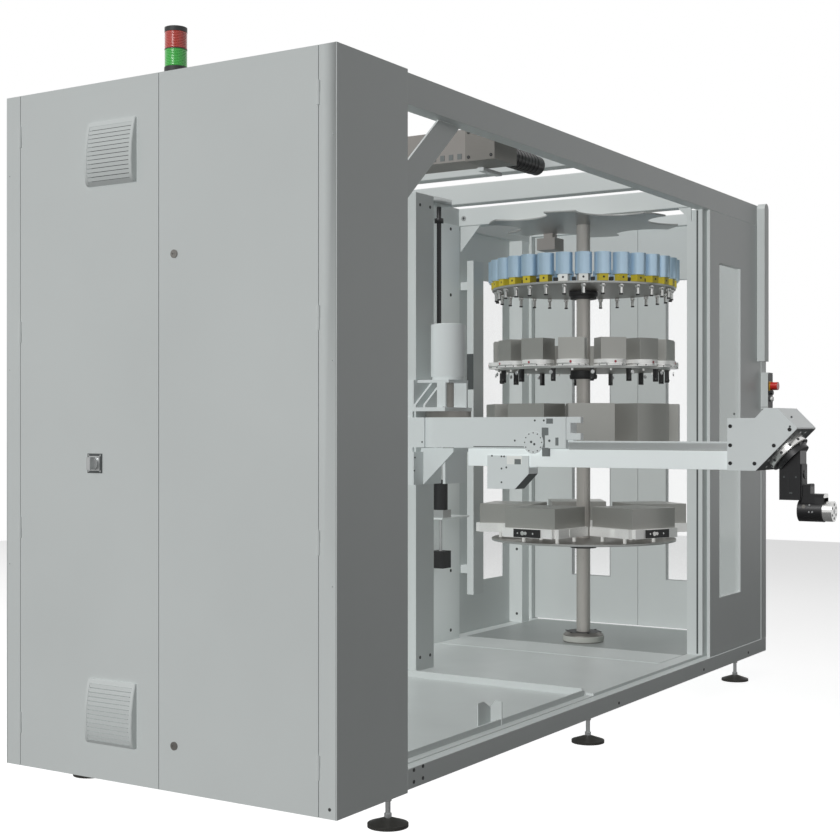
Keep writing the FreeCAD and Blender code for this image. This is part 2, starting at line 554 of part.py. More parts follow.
def rear_doors():
    y = (f"{REAR} - rear_door_thick", REAR)
    for label, sign in (("rear_left", -1), ("rear_right", 1)):
        x = mirror_pair(sign, "door_gap / 2", f"{SIDE} - post_size - over * 2")
        leaf = block(x, y, (f"{FLOOR} + door_gap", f"{ROOF} - door_gap"))
        window = mirror_pair(sign, "rear_window_inner", "rear_window_outer")
        opening = block(window, (f"{y[0]} - over", f"{REAR} + over"), WINDOW)
        piece(f"{label}_door", [knuckled(leaf, "leaf", REAR_HINGES[sign])], [opening])
        piece(f"{label}_pane",
              [block(window, (f"{REAR} - pane_inset", f"{REAR} - pane_inset + window_pane"), WINDOW)])
    grip = [rod("handle_inset", REAR, f"{BASE} + handle_rise + {k} * handle_pitch",
                "handle_radius - over * 2", "handle_reach", "y")
            for k in range(2)]
    grip.append(rod("handle_inset", f"{REAR} + handle_reach", f"{BASE} + handle_rise - handle_radius * 2",
                    "handle_radius",
                    "handle_pitch + handle_radius * 4"))
    piece("rear_door_handle", grip, joined=True)


def feet():
    spots = [(f"{sign} * ({SIDE} - foot_inset)", y) for sign in BOTH for y in FEET_Y]
    solids = []
    for x, y in spots + [(0, 0)]:
        top = BASE if y == FEET_Y[0] else f"{BASE} + sill_lift"
        pad_top = "(foot_pad + foot_cone)"
        solids.append(group([rod(x, y, 0, "foot_disc", "foot_pad"),
                             cone(x, y, "foot_pad", "foot_disc", "foot_stem * 2", "foot_cone"),
                             rod(x, y, pad_top, "foot_stem", f"{top} - {pad_top}")], "Part::MultiFuse"))
    piece("levelling_feet", solids)


# Operator box beside the rear corner
def operator_box():
    face = f"{SIDE} + box_depth"
    y = (f"{REAR} - box_setback - box_width", f"{REAR} - box_setback")
    z = (f"{BASE} + box_rise", f"{BASE} + box_rise + box_height")
    centre = f"{y[0]} + box_width / 2"
    case = block((SIDE, face), y, z)
    bracket = block((f"{SIDE} - sheet * 5", f"{SIDE} + sheet * 5"), (REAR, f"{REAR} + sheet * 2"),
                    (z[0], z[1]))
    names = (("estop_button", "estop_radius", "estop_drop", "estop_head"),
             ("start_button", "button_radius", "start_drop", "button_head"),
             ("stop_button", "button_radius", "stop_drop", "button_head"))
    bores = []
    for label, radius, drop, head in names:
        level = f"{z[1]} - {drop}"
        bores.append(rod(f"{face} - stem_depth - button_travel", centre, level, "stem_radius + running_gap",
                         "stem_depth * 2", "x"))
        cap_start = f"{face} + button_travel + over"
        piece(label,
              [rod(f"{face} - stem_depth + over", centre, level, "stem_radius",
                   "stem_depth + button_travel + over", "x"),
                      rod(cap_start, centre, level, radius, head, "x")], joined=True)
    duct_x = (SIDE, f"{SIDE} + duct_depth")
    duct_y = (f"{REAR} - duct_setback - duct_width", f"{REAR} - duct_setback")
    round_z = f"{TOP} - duct_width / 2"
    duct = [block(duct_x, duct_y, (f"{BASE} + duct_rise", round_z)),
            rod(duct_x[0], f"{duct_y[0]} + duct_width / 2", round_z, "duct_width / 2", "duct_depth", "x")]
    piece("operator_box", [case, bracket, group(duct, "Part::MultiFuse")], bores)


# Robot column and lift
COLUMN_X = ("column_x - column_width / 2", "column_x + column_width / 2")
COLUMN_Y = ("column_y - column_depth / 2", "column_y + column_depth / 2")
ARM_LOW = "arm_level - arm_height / 2"
ARM_HIGH = "arm_level + arm_height / 2"
PLATE_LOW = f"{ARM_HIGH} + bearing_gap"
PLATE_HIGH = f"{PLATE_LOW} + carriage_plate"
GUSSET_LOW = f"{ARM_LOW} - gusset_drop"
SHELF_HIGH = f"{ARM_LOW} - shelf_gap"
SHELF_LOW = f"{SHELF_HIGH} - carriage_plate"
ARM_Y = ("column_y - arm_width / 2", "column_y + arm_width / 2")
STAND_HIGH = f"{PLATE_LOW} + motor_stand"
LIFT_ROD = ("column_x + guide_rail", f"{COLUMN_Y[1]} + lift_rod_offset")
ARM_END = "arm_axis_x + arm_reach"
BEAM_HIGH_Z = f"{ARM_LOW} - beam_gap"
BEAM_LOW_Z = f"{BEAM_HIGH_Z} - beam_section"
COVER_HIGH = f"{BEAM_HIGH_Z} + rail_height + cover_height"
BEAM_Y = (f"{ARM_Y[0]} + beam_inset", f"{ARM_Y[0]} + beam_inset + beam_depth")
HEAD_Y = (f"{ARM_Y[0]} - head_lead", f"{ARM_Y[0]} - head_lead + head_depth")
HEAD_LOW = f"{BEAM_LOW_Z} - head_lead"
FACE_X = "head_start + face_reach"
FACE_Z = f"{HEAD_LOW} + face_rise"
# Places of the head's screws, along the head and up from its foot
HEAD_SCREWS = ((12, 26), (12, 92), (12, 162), (104, 26), (176, 92), (234, 150))


def robot_column():
    rail_x = (f"{COLUMN_X[0]} + rail_inset", f"{COLUMN_X[0]} + rail_inset + guide_rail")
    z = (f"{FLOOR} + tie_width", f"{CROSS_LOW} - tie_width")
    rails = [block(rail_x, (f"{COLUMN_Y[0]} - rail_depth", COLUMN_Y[0]), z),
             block(rail_x, (COLUMN_Y[1], f"{COLUMN_Y[1]} + rail_depth"), z)]
    piece("robot_column", [block(COLUMN_X, COLUMN_Y, (FLOOR, CROSS_LOW))] + rails)
    lift = rod(*LIFT_ROD, f"{CROSS_LOW} - foot_pad * 3 - lift_rod_length", "lift_rod_radius",
               "lift_rod_length")
    collar = rod(*LIFT_ROD, f"{CROSS_LOW} - collar_drop", "lift_rod_radius * 2", "lift_rod_radius * 2")
    bracket = block((f"{LIFT_ROD[0]} - rail_inset", f"{LIFT_ROD[0]} + rail_inset"),
                    (COLUMN_Y[1], f"{LIFT_ROD[1]} + rail_inset / 2"),
                    (f"{CROSS_LOW} - foot_pad * 3", CROSS_LOW))
    piece("lift_rod", [group([lift, collar], "Part::MultiFuse"), bracket])
    gear_y = (f"{CROSS_Y[1]} - gear_setback", f"{CROSS_Y[1]} - gear_setback + gear_width")
    gear_x = ("gear_start", "gear_start + gear_length")
    gear_z = (f"{CROSS_LOW} - gear_drop", f"{ROOF} - sheet * 3")
    centre = ("gear_start + gear_length / 2", f"{gear_z[1]} - lift_motor_radius * 2")
    drive = [block(gear_x, gear_y, gear_z),
             rod(centre[0], gear_y[1], centre[1], "lift_motor_radius", "lift_motor_length", "y"),
             block((f"gear_start - terminal_length", "gear_start"),
                   (f"{gear_y[0]} + sheet", f"{gear_y[1]} - sheet"), (f"{gear_z[0]} + sheet", gear_z[1])),
             block((gear_x[1], INNER), (f"{gear_y[0]} + sheet", f"{gear_y[1]} - sheet"),
                   (f"{ROOF} - sheet * 5", f"{ROOF} - sheet * 3"))]
    piece("lift_drive", drive)


def service_unit():
    wall = f"lining_inset + sheet - {SIDE}"
    y = ("service_start", "service_start + service_width")
    tray_z = ("service_level", "service_level + sheet * 2")
    centre = (f"{wall} + service_setback", f"{y[0]} + service_inset")
    tray = [block((wall, f"{wall} + service_reach"), y, tray_z)]
    motor = [block((f"{centre[0]} - service_motor", f"{centre[0]} + service_motor"),
                   (f"{centre[1]} - service_motor", f"{centre[1]} + service_motor"),
                   (tray_z[1], f"{tray_z[1]} + service_motor")),
             rod(*centre, f"{tray_z[1]} + service_motor", "service_motor - sheet / 2",
                 "service_motor_height")]
    weight_top = f"{tray_z[0]} - service_hang"
    weight = [rod(*centre, weight_top, "stem_radius", "service_hang"),
              block((f"{centre[0]} - service_motor", f"{centre[0]} + service_motor"),
                    (f"{centre[1]} - service_motor", f"{centre[1]} + service_motor"),
                    (f"{weight_top} - weight_height", weight_top))]
    piece("service_unit", tray + [group(motor, "Part::MultiFuse"), group(weight, "Part::MultiFuse")])


def carriage():
    web_x = (f"{COLUMN_X[1]} + web_gap", f"{COLUMN_X[1]} + web_gap + web_thick")
    cheek_x = (f"{COLUMN_X[0]} + cheek_inset", web_x[0])
    z = (GUSSET_LOW, STAND_HIGH)
    cheeks = [block(cheek_x, (f"{COLUMN_Y[0]} - shoe_gap - cheek_thick", f"{COLUMN_Y[0]} - shoe_gap"), z),
              block(cheek_x, (f"{COLUMN_Y[1]} + shoe_gap", f"{COLUMN_Y[1]} + shoe_gap + cheek_thick"), z)]
    reach = (web_x[0], "arm_axis_x + shelf_reach")
    shelf_y = (f"{BEAM_Y[1]} + shelf_gap", ARM_Y[1])
    tie_x = ("arm_axis_x - tie_setback", "arm_axis_x - tie_setback + web_thick")
    lower = [block(reach, shelf_y, (SHELF_LOW, SHELF_HIGH)),
             block(web_x, ARM_Y, (GUSSET_LOW, SHELF_LOW)),
             gusset(reach, (shelf_y[0], f"{shelf_y[0]} + rib_thick"), (GUSSET_LOW, SHELF_LOW)),
             block(tie_x, ("column_y - tie_lead", "column_y + tie_end"),
                   (f"{GUSSET_LOW} + tie_foot", SHELF_LOW)),
             block(tie_x, ("column_y + tie_end - tie_tail", "column_y + tie_end"), (SHELF_LOW, SHELF_HIGH))]
    upper_x = (web_x[0], "arm_axis_x + stand_reach")
    stand_low = f"{STAND_HIGH} - stand_thick"
    upper = [block(upper_x, ARM_Y, (PLATE_LOW, PLATE_HIGH)),
             block(web_x, ARM_Y, (PLATE_HIGH, STAND_HIGH)),
             block(upper_x, ("column_y - stand_half", "column_y + stand_half"), (stand_low, STAND_HIGH)),
             block(("arm_axis_x - stand_end", upper_x[1]),
                   ("column_y + stand_rib", "column_y + stand_rib + stand_thick"),
                   (PLATE_HIGH, stand_low))]
    upper += [wedge((x, f"{x} + rib_thick"), (ARM_Y[0], "column_y + stand_toe"), (PLATE_HIGH, stand_low),
                    "rib_thick")
              for x in (web_x[1], "arm_axis_x - stand_end")]
    front = f"{COLUMN_Y[0]} - shoe_gap - cheek_thick"
    apron = block((cheek_x[0], f"{web_x[0]} + apron_reach"), (f"{front} - apron_thick", front),
                  (ARM_LOW, ARM_HIGH))
    bores = [rod("arm_axis_x", "column_y", f"{SHELF_LOW} - over", "swivel_radius + running_gap",
                 f"{STAND_HIGH} - ({SHELF_LOW}) + over * 2")]
    rail_low = f"{COLUMN_X[0]} + rail_inset"
    shoe_x = (f"{rail_low} - shoe_inset", f"{rail_low} + shoe_inset + guide_rail")
    shoe_sides = ((f"{COLUMN_Y[0]} - shoe_gap", f"{COLUMN_Y[0]} - slide_gap"),
                  (f"{COLUMN_Y[1]} + slide_gap", f"{COLUMN_Y[1]} + shoe_gap"))
    shoes = [block(shoe_x, y, (low, f"{low} + shoe_length"))
             for low in (f"{GUSSET_LOW} + shoe_low", f"{STAND_HIGH} - shoe_high") for y in shoe_sides]
    room_x = (f"{rail_low} - air_gap", f"{rail_low} + air_gap + guide_rail")
    room = "(rail_depth + running_gap * 4)"
    slots = [block(room_x, y, z)
             for y in ((f"{COLUMN_Y[0]} - {room}", COLUMN_Y[0]), (COLUMN_Y[1], f"{COLUMN_Y[1]} + {room}"))]
    frame = group(cheeks + lower + upper + [apron], "Part::MultiFuse")
    piece("carriage", [frame] + shoes, bores + slots)
    motor = [rod("arm_axis_x", "column_y", STAND_HIGH, "motor_radius - motor_neck", "motor_collar"),
             rod("arm_axis_x", "column_y", f"{STAND_HIGH} + motor_collar", "motor_radius",
                 "motor_height - motor_collar")]
    piece("swivel_motor", motor, joined=True)


# Arm, telescopic beam and head
def arm():
    slot_y = (f"{BEAM_Y[0]} + slot_setback", f"{BEAM_Y[1]} - slot_setback")
    rear = rod("arm_axis_x", "column_y", ARM_LOW, "arm_width / 2", "arm_height")
    body = block(("arm_axis_x", ARM_END), ARM_Y, (ARM_LOW, ARM_HIGH))
    slot = block(("arm_axis_x - arm_width", f"{ARM_END} + over"), slot_y,
                 (f"{ARM_LOW} - over", f"{COVER_HIGH} + beam_gap"))
    bore = rod("arm_axis_x", "column_y", f"{ARM_LOW} - over", "swivel_radius", "arm_height + over * 2")
    relief = block(("arm_axis_x + arm_shoulder", f"{ARM_END} + over"),
                   (f"{ARM_Y[0]} + arm_nose", f"{ARM_Y[1]} + over"),
                   (f"{ARM_LOW} - over", f"{ARM_HIGH} + over"))
    piece("arm_housing", [group([rear, body], "Part::MultiFuse")], [slot, bore, relief])
    shaft = rod("arm_axis_x", "column_y", SHELF_LOW, "swivel_radius",
                f"{STAND_HIGH} - ({SHELF_LOW}) - slide_gap")
    bearing = rod("arm_axis_x", "column_y", ARM_HIGH, "arm_width / 2 - bearing_step",
                  "bearing_gap - slide_gap")
    piece("swivel_shaft", [shaft, bearing], joined=True)
    fork_y = (f"{ARM_Y[0]} + fork_inset", f"{ARM_Y[0]} + fork_inset + fork_depth")
    fork_low = f"{COVER_HIGH} + beam_gap + over"
    fork = block((ARM_END, f"{ARM_END} + fork_length"), fork_y, (fork_low, ARM_HIGH))
    notch = block((f"{ARM_END} + fork_wall", f"{ARM_END} + fork_length + over"),
                  (f"{fork_y[0]} - over", f"{fork_y[1]} + over"),
                  (f"{fork_low} + fork_low_wall", f"{ARM_HIGH} - fork_high_wall"))
    box_x = ("belt_box_start", "belt_box_end")
    box_y = (f"{BEAM_Y[0]} - belt_inset", f"{BEAM_Y[1]} + box_end")
    box_z = (f"{BEAM_LOW_Z} - beam_gap - belt_box_drop", f"{BEAM_LOW_Z} - beam_gap")
    floor = block(box_x, box_y, box_z)
    lip = block(box_x, (box_y[0], f"{box_y[0]} + lip_thick"), (box_z[1], f"{BEAM_LOW_Z} + lip_height"))
    web = block(box_x, (f"{BEAM_Y[1]} + beam_gap", box_y[1]), (box_z[1], ARM_LOW))
    reach = f"belt_box_bevel * {DIAGONAL}"
    bevel = turned_box(f"{box_x[1]} - belt_box_bevel / 2", f"{box_z[0]} + belt_box_bevel / 2",
                       (f"{box_y[0]} - over", f"{box_y[1]} + over"), 135, 0, f"{reach} * 2",
                       f"0 - {reach} * 2",
                       f"{reach} * 2")
    runner_z = (ARM_LOW, f"{BEAM_HIGH_Z} + rail_height - air_gap")
    rail = (f"{BEAM_Y[0]} + rail_setback - air_gap", f"{BEAM_Y[1]} - rail_setback + air_gap")
    runners = [block((f"{ARM_END} - {k} * runner_pitch - runner_length", f"{ARM_END} - {k} * runner_pitch"),
                     y, runner_z)
               for k in range(2) for y in ((slot_y[0], rail[0]), (rail[1], slot_y[1]))]
    piece("arm_fittings", [fork, group([floor, lip, web], "Part::MultiFuse")] + runners, [notch, bevel])


def beam():
    rail_x = ("beam_start + rail_start", "head_start")
    tube = block(("beam_start", "head_start"), BEAM_Y, (BEAM_LOW_Z, BEAM_HIGH_Z))
    hollow = block(("beam_start - over", "head_start - tube_end"),
                   (f"{BEAM_Y[0]} + beam_wall", f"{BEAM_Y[1]} - beam_wall"),
                   (f"{BEAM_LOW_Z} + beam_wall", f"{BEAM_HIGH_Z} - beam_wall"))
    rail = block(rail_x, (f"{BEAM_Y[0]} + rail_setback", f"{BEAM_Y[1]} - rail_setback"),
                 (BEAM_HIGH_Z, f"{BEAM_HIGH_Z} + rail_height"))
    cover = block(rail_x, (f"{BEAM_Y[0]} + cover_inset", f"{BEAM_Y[1]} - cover_inset"),
                  (f"{BEAM_HIGH_Z} + rail_height", COVER_HIGH))
    piece("telescopic_beam", [tube, rail, cover], [hollow])


def head():
    y = (f"{HEAD_Y[0]} - over", f"{HEAD_Y[1]} + over")
    end = "head_start + head_length"
    high = f"{HEAD_LOW} + head_height"
    shoulder = f"{high} - head_shoulder"
    neck = "head_start + head_neck"
    shell = block(("head_start", end), HEAD_Y, (HEAD_LOW, high))
    slant = turned_box(FACE_X, FACE_Z, y, 135, 0, "head_length", "0 - head_length", "head_length")
    step = block(("head_start - over", neck), y, (shoulder, f"{high} + over"))
    ramp = turned_box(neck, shoulder, y, 315, 0, "head_height", 0, "head_height")
    nose = turned_box(end, f"{high} - head_bevel", y, 45, 0, "head_height", "0 - head_height", "head_height")
    screws = []
    for x, z in HEAD_SCREWS:
        screws.append(rod(f"head_start + {x}", f"{HEAD_Y[0]} - screw_rise", f"{HEAD_LOW} + {z}",
                          "screw_radius", "screw_rise", "y"))
    body = doc.addObject("Part::Cut", "Head")
    body.Base = shell
    body.Tool = group([slant, step, ramp, nose])
    piece("head_housing", [body] + screws)


def on_face(out):
    """X and Z of a point this far out from the middle of the slanted face."""
    return f"({FACE_X}) + ({out}) * {DIAGONAL}", f"({FACE_Z}) - ({out}) * {DIAGONAL}"


def wrist():
    low, high = on_face("air_gap"), on_face("air_gap + ring_height")
    ring = rod(low[0], "column_y", low[1], "wrist_ring", "ring_height", "face")
    hub = rod(high[0], "column_y", high[1], "wrist_ring - hub_step", "hub_depth", "face")
    y = ("column_y - wrist_width / 2", "column_y + wrist_width / 2")
    x = ("wrist_start", "wrist_start + wrist_length")
    body = block(x, y, ("wrist_foot", "wrist_foot + head_height"))
    above = turned_box(*high, (f"{y[0]} - over", f"{y[1]} + over"), 315, 0, "head_length", "0 - head_length",
                       "head_length")
    trimmed = doc.addObject("Part::Cut", "Trimmed")
    trimmed.Base = body
    trimmed.Tool = above
    piece("wrist_body", [ring, group([trimmed, hub], "Part::MultiFuse")])
    axis_z = "wrist_foot - gripper_radius"
    tip = "gripper_start + gripper_length"
    half = "wrist_width / 3"
    step = block((x[1], f"{x[1]} + step_length"), (f"column_y - {half}", f"column_y + {half}"),
                 ("wrist_foot + arm_thick", "wrist_foot + step_high"))
    arm = block((x[1], f"{x[1]} + saddle_length"), (f"column_y - {half}", f"column_y + {half}"),
                ("wrist_foot - gripper_radius / 2", "wrist_foot + arm_thick"))
    barrel = rod("gripper_start", "column_y", axis_z, "gripper_radius", "gripper_length - face_length", "x")
    face = rod(f"{tip} - face_length", "column_y", axis_z, "gripper_radius - sheet / 2", "face_length", "x")
    bore = rod(f"{tip} - bolt_depth - over", "column_y", axis_z, "clamp_radius + running_gap",
               "bolt_depth * 2", "x")
    piece("gripper_body", [group([step, arm, barrel], "Part::MultiFuse"), face], [bore])
    piece("clamp_bolt",
          [rod(f"{tip} - bolt_depth", "column_y", axis_z, "clamp_radius", "bolt_depth - over", "x")])


# Magazine
def magazine_mounts():
    base = rod(0, 0, FLOOR, "bearing_radius", "bearing_height - bearing_rim")
    upper = cone(0, 0, f"{FLOOR} + bearing_height - bearing_rim", "bearing_radius",
                 "bearing_radius - bearing_rim", "bearing_rim")
    bore = rod(0, 0, f"{FLOOR} - over", "shaft_radius + running_gap", "bearing_height + over * 2")
    piece("floor_bearing", [base, upper], [bore], joined=True)
    plate = turned_plate("StarPlate", "star_radius", "shaft_radius + running_gap", "star_sheet", STAR_LEVEL)
    cut_bites(plate, "star_bite", "star_radius + bite_reach")
    piece("star_plate", [plate])
    x, y = ("drive_x - drive_size", "drive_x + drive_size"), ("drive_y - drive_size", "drive_y + drive_size")
    stand = "drive_size / 2"
    drive = [block(x, y, (f"{STAR_LEVEL} - drive_drop", f"{STAR_LEVEL} - {stand}")),
             block((f"drive_x - {stand}", f"drive_x + {stand}"),
                   (f"drive_y - {stand}", f"drive_y + {stand}"),
                   (f"{STAR_LEVEL} - {stand}", STAR_LEVEL))]
    straps = [block((f"{sign} * strap_reach - strap_width / 2", f"{sign} * strap_reach + strap_width / 2"),
                    (CROSS_Y[0], f"{CROSS_Y[0]} + strap_length"),
                    (f"{STAR_LEVEL} + star_sheet", CROSS_LOW)) for sign in BOTH]
    piece("magazine_drive", [group(drive, "Part::MultiFuse")] + straps)


def magazine_shaft():
    shaft = rod(0, 0, f"{FLOOR} + air_gap", "shaft_radius",
                f"{CROSS_LOW} - shaft_drop - ({FLOOR}) - air_gap")
    hubs = [rod(0, 0, f"{low} - hub_height", "hub_radius", "hub_height") for low in DISCS]
    piece("magazine_shaft", [shaft] + hubs, joined=True)


TOOL_LEVEL = f"({STAR_LEVEL} - tool_drop)"
ROUND_LEVEL = f"({TOOL_LEVEL} - round_drop)"
LARGE_LEVEL = f"({ROUND_LEVEL} - large_drop)"
SQUARE_LEVEL = f"({LARGE_LEVEL} - square_drop)"
TOOL_DISC = f"{TOOL_LEVEL} - holder_height - disc_sheet"
ROUND_DISC = f"{ROUND_LEVEL} - disc_sheet"
LARGE_DISC = f"{LARGE_LEVEL} - disc_sheet"
SQUARE_DISC = f"{SQUARE_LEVEL} - pin_height - disc_sheet"
DISCS = (TOOL_DISC, ROUND_DISC, LARGE_DISC, SQUARE_DISC)


def magazine_levels():
    radii = ("tool_disc", "round_disc", "large_disc", "square_disc")
    piece("magazine_discs",
          [turned_plate("Disc", radius, "shaft_radius", "disc_sheet", low) for radius,
           low in zip(radii, DISCS)])
    tools, holders, studs = [], [], []
    holder_low = f"{TOOL_DISC} + disc_sheet"
    for k in range(count("tool_count")):
        angle = f"(tool_phase + {k} * 360 / tool_count)"
        tools.append(radial_rod(angle, "tool_circle", f"{holder_low} + holder_height", "tool_radius",
                                "tool_height"))
        holders.append(radial_block(angle, "tool_circle - holder_depth / 2",
                                    "tool_circle + holder_depth / 2", "holder_width",
                                    holder_low, f"{holder_low} + holder_height"))
        studs.append(radial_rod(angle, "tool_circle", f"{TOOL_DISC} - stud_length", "stud_radius",
                                "stud_length"))
    piece("tool_blanks", tools)
    piece("tool_holders", holders + studs)
    pallets, blocks, clamps = [], [], []
    for k in range(count("round_count")):
        angle = f"(round_phase + {k} * 360 / round_count)"
        pallets.append(radial_rod(angle, "round_circle", ROUND_LEVEL, "round_radius", "round_height"))
        blocks.append(radial_block(angle, "round_circle - round_block_depth / 2",
                                   "round_circle + round_block_depth / 2", "round_block",
                                   f"{ROUND_LEVEL} + round_height",
                                   f"{ROUND_LEVEL} + round_height + round_block_height"))
        middle = f"({angle} + 180 / round_count)"
        clamps.append(radial_block(middle, "round_circle + clamp_start",
                                   "round_circle + clamp_start + clamp_long",
                                   "clamp_wide", f"{ROUND_DISC} - clamp_drop", ROUND_DISC))
    piece("round_pallets", pallets + clamps)
    piece("round_workpieces", blocks)
    pallets, blocks = [], []
    for k in range(count("large_count")):
        angle = f"(large_phase + {k} * 360 / large_count)"
        pallets.append(radial_block(angle, "large_circle - large_pallet_depth / 2",
                                    "large_circle + large_pallet_depth / 2", "large_pallet",
                                    LARGE_LEVEL, f"{LARGE_LEVEL} + large_height"))
        blocks.append(radial_block(angle, "large_circle - large_block_depth / 2",
                                   "large_circle + large_block_depth / 2", "large_block",
                                   f"{LARGE_LEVEL} + large_height",
                                   f"{LARGE_LEVEL} + large_height + large_block_height"))
    piece("large_pallets", pallets)
    piece("large_workpieces", blocks)
    pallets, blocks, pins, plates = [], [], [], []
    for k in range(count("square_count")):
        angle = f"(square_phase + {k} * 360 / square_count)"
        half = "square_pallet / 2"
        top = f"{SQUARE_LEVEL} + square_height"
        slab = radial_block(angle, f"square_circle - {half}", f"square_circle + {half}",
                            "square_pallet - corner_cut * 2", SQUARE_LEVEL, top)
        bar = radial_block(angle, f"square_circle - {half} + corner_cut",
                           f"square_circle + {half} - corner_cut", "square_pallet", SQUARE_LEVEL, top)
        pallets.append(group([slab, bar], "Part::MultiFuse"))
        blocks.append(radial_block(angle, "square_circle - square_block / 2",
                                   "square_circle + square_block / 2", "square_block",
                                   top, f"{top} + square_block_height"))
        plates.append(radial_block(angle, f"square_circle + {half}",
                                   f"square_circle + {half} + slot_plate_thick", "slot_plate",
                                   f"{SQUARE_LEVEL} + slot_plate_gap", f"{top} - slot_plate_gap"))
        for spread in ("(0 - pin_spread)", "pin_spread"):
            for reach in ("(square_circle - pin_inner)", "(square_circle + pin_outer)"):
                pins.append(rod(f"{reach} * cos({angle}) - {spread} * sin({angle})",
                                f"{reach} * sin({angle}) + {spread} * cos({angle})",
                                f"{SQUARE_DISC} + disc_sheet", "pallet_pin", "pin_height"))
    piece("square_pallets", pallets + pins + plates)
    piece("square_workpieces", blocks)


def write_parts():
    """Check every object and write each sub-part to its own file."""
    doc.recompute()
    for obj in doc.Objects:
        if "Invalid" in obj.State or "Error" in obj.State:
            raise SystemExit(f"{obj.Name} {obj.Label} failed: {obj.State}")
    os.makedirs("parts", exist_ok=True)
    for label, obj in PIECES.items():
        shape = obj.Shape
        if shape.isNull() or not shape.isValid() or not shape.Solids:
            raise SystemExit(f"{label} has no valid shape")
        shape.exportStep(f"parts/{label}.step")
    print(len(PIECES), "sub-parts written")


cabinet()
front_doors()
cabinet_fittings()
signal_tower()
frame()
side_walls()
rear_doors()
feet()
operator_box()
robot_column()
service_unit()
carriage()
arm()
beam()
head()
wrist()
magazine_mounts()
magazine_shaft()
magazine_levels()
write_parts()
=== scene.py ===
"""Looks of the palletizing robot cell: finishes for its CAD nodes and the details around them."""

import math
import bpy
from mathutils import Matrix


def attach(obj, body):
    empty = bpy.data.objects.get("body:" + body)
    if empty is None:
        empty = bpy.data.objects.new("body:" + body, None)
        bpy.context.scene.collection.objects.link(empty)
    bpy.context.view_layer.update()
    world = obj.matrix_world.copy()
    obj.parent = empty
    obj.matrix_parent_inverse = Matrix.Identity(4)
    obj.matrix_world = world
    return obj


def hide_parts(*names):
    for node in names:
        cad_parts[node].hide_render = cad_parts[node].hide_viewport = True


bl_info = {
    "name": "Palletizing Robot Cell",
    "version": (1, 0, 0),
    "blender": (4, 5, 0),
    "location": "3D View > Sidebar > Robot Cell",
    "description": "Dresses a palletizing robot cell with its pallet magazine",
    "category": "Object",
}

import bmesh
import bpy
from mathutils import Matrix, Vector

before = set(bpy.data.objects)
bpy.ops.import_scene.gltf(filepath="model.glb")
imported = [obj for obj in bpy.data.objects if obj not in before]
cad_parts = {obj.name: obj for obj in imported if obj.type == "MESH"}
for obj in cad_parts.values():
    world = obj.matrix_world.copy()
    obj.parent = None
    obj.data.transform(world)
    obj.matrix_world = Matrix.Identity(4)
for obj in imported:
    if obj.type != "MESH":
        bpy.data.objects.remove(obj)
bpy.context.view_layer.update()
X, Y, Z = Vector((1, 0, 0)), Vector((0, 1, 0)), Vector((0, 0, 1))
MM = 0.001

# Places on the cell in millimetres, from the foot of the magazine's shaft
CABINET_FRONT = -2977.0
SIDE = 670
TOWER = (-68, -2822)
ROBOT_Y = -1090
ARM_FACE = -1200.0

# The wrist turns round a slanted axis, and its flange stands out along it
WRIST_CENTRE = Vector((1347, ROBOT_Y, 1129))
WRIST_AXIS = Vector((1, 0, -1)).normalized()
WRIST_UP = Vector((1, 0, 1)).normalized()
WRIST_FLANGE = 26

# Seats on the magazine's levels: how many, the first one's angle in degrees, and the circle's radius
TOOL_COUNT, TOOL_START, TOOL_CIRCLE = 30, -88.2, 417
ROUND_COUNT, ROUND_START, ROUND_CIRCLE = 14, -97.2, 380
LARGE_COUNT, LARGE_START = 9, -99.6
SQUARE_COUNT, SQUARE_START = 5, -94.7

# Share of a filter cover's height, and how far the cover stands out there in millimetres
COVER_BELLY = ((0, 12), (0.04, 19), (0.16, 24), (0.34, 26), (0.58, 24), (0.80, 17), (0.95, 10), (1, 7))

# Turns that lay a prism's outline in the (y, z) or the (x, z) plane
ALONG_X = Matrix(((0, 0, 1, 0), (1, 0, 0, 0), (0, 1, 0, 0), (0, 0, 0, 1)))
ALONG_Y = Matrix(((1, 0, 0, 0), (0, 0, 1, 0), (0, 1, 0, 0), (0, 0, 0, 1)))


def tone(red, green, blue):
    """A screen colour in 0 to 255 as the linear colour that Blender works in."""
    shares = (level / 255 for level in (red, green, blue))
    return tuple(c / 12.92 if c < 0.0405 else ((c + 0.055) / 1.055) ** 2.4 for c in shares)


def colour(label, about, value):
    return bpy.props.FloatVectorProperty(name=label, description=about, subtype="COLOR", size=3,
                                         min=0, max=1, default=value)


def length(label, about, value):
    return bpy.props.FloatProperty(name=label, description=about, subtype="DISTANCE", unit="LENGTH",
                                   min=0, default=value)


def amount(label, about, value, high=1.0):
    return bpy.props.FloatProperty(name=label, description=about, min=0, max=high, default=value)


def whole(label, about, value):
    return bpy.props.IntProperty(name=label, description=about, min=1, default=value)


class CellColours(bpy.types.PropertyGroup):
    """Colours of the cell's finishes."""

    paint: colour("Cabinet paint", "Light grey paint of the panels and the frame", tone(206, 211, 210))
    robot: colour("Robot paint", "Light grey of the arm, the beam and the head", tone(214, 219, 219))
    blocks: colour("Workpieces", "Dull grey of the blocks on the pallets", tone(160, 160, 156))
    blanks: colour("Electrode blanks", "Blue grey of the round blanks on the top level", tone(176, 200, 218))
    holders: colour("Holders", "Yellow of the holders under the blanks", tone(196, 178, 52))
    emergency: colour("Emergency stop", "Red of the emergency stop button", tone(206, 40, 34))
    lens_green: colour("Green lens", "Green of the signal tower's lower lens", tone(60, 190, 70))
    lens_red: colour("Red lens", "Red of the signal tower's upper lens", tone(196, 60, 46))


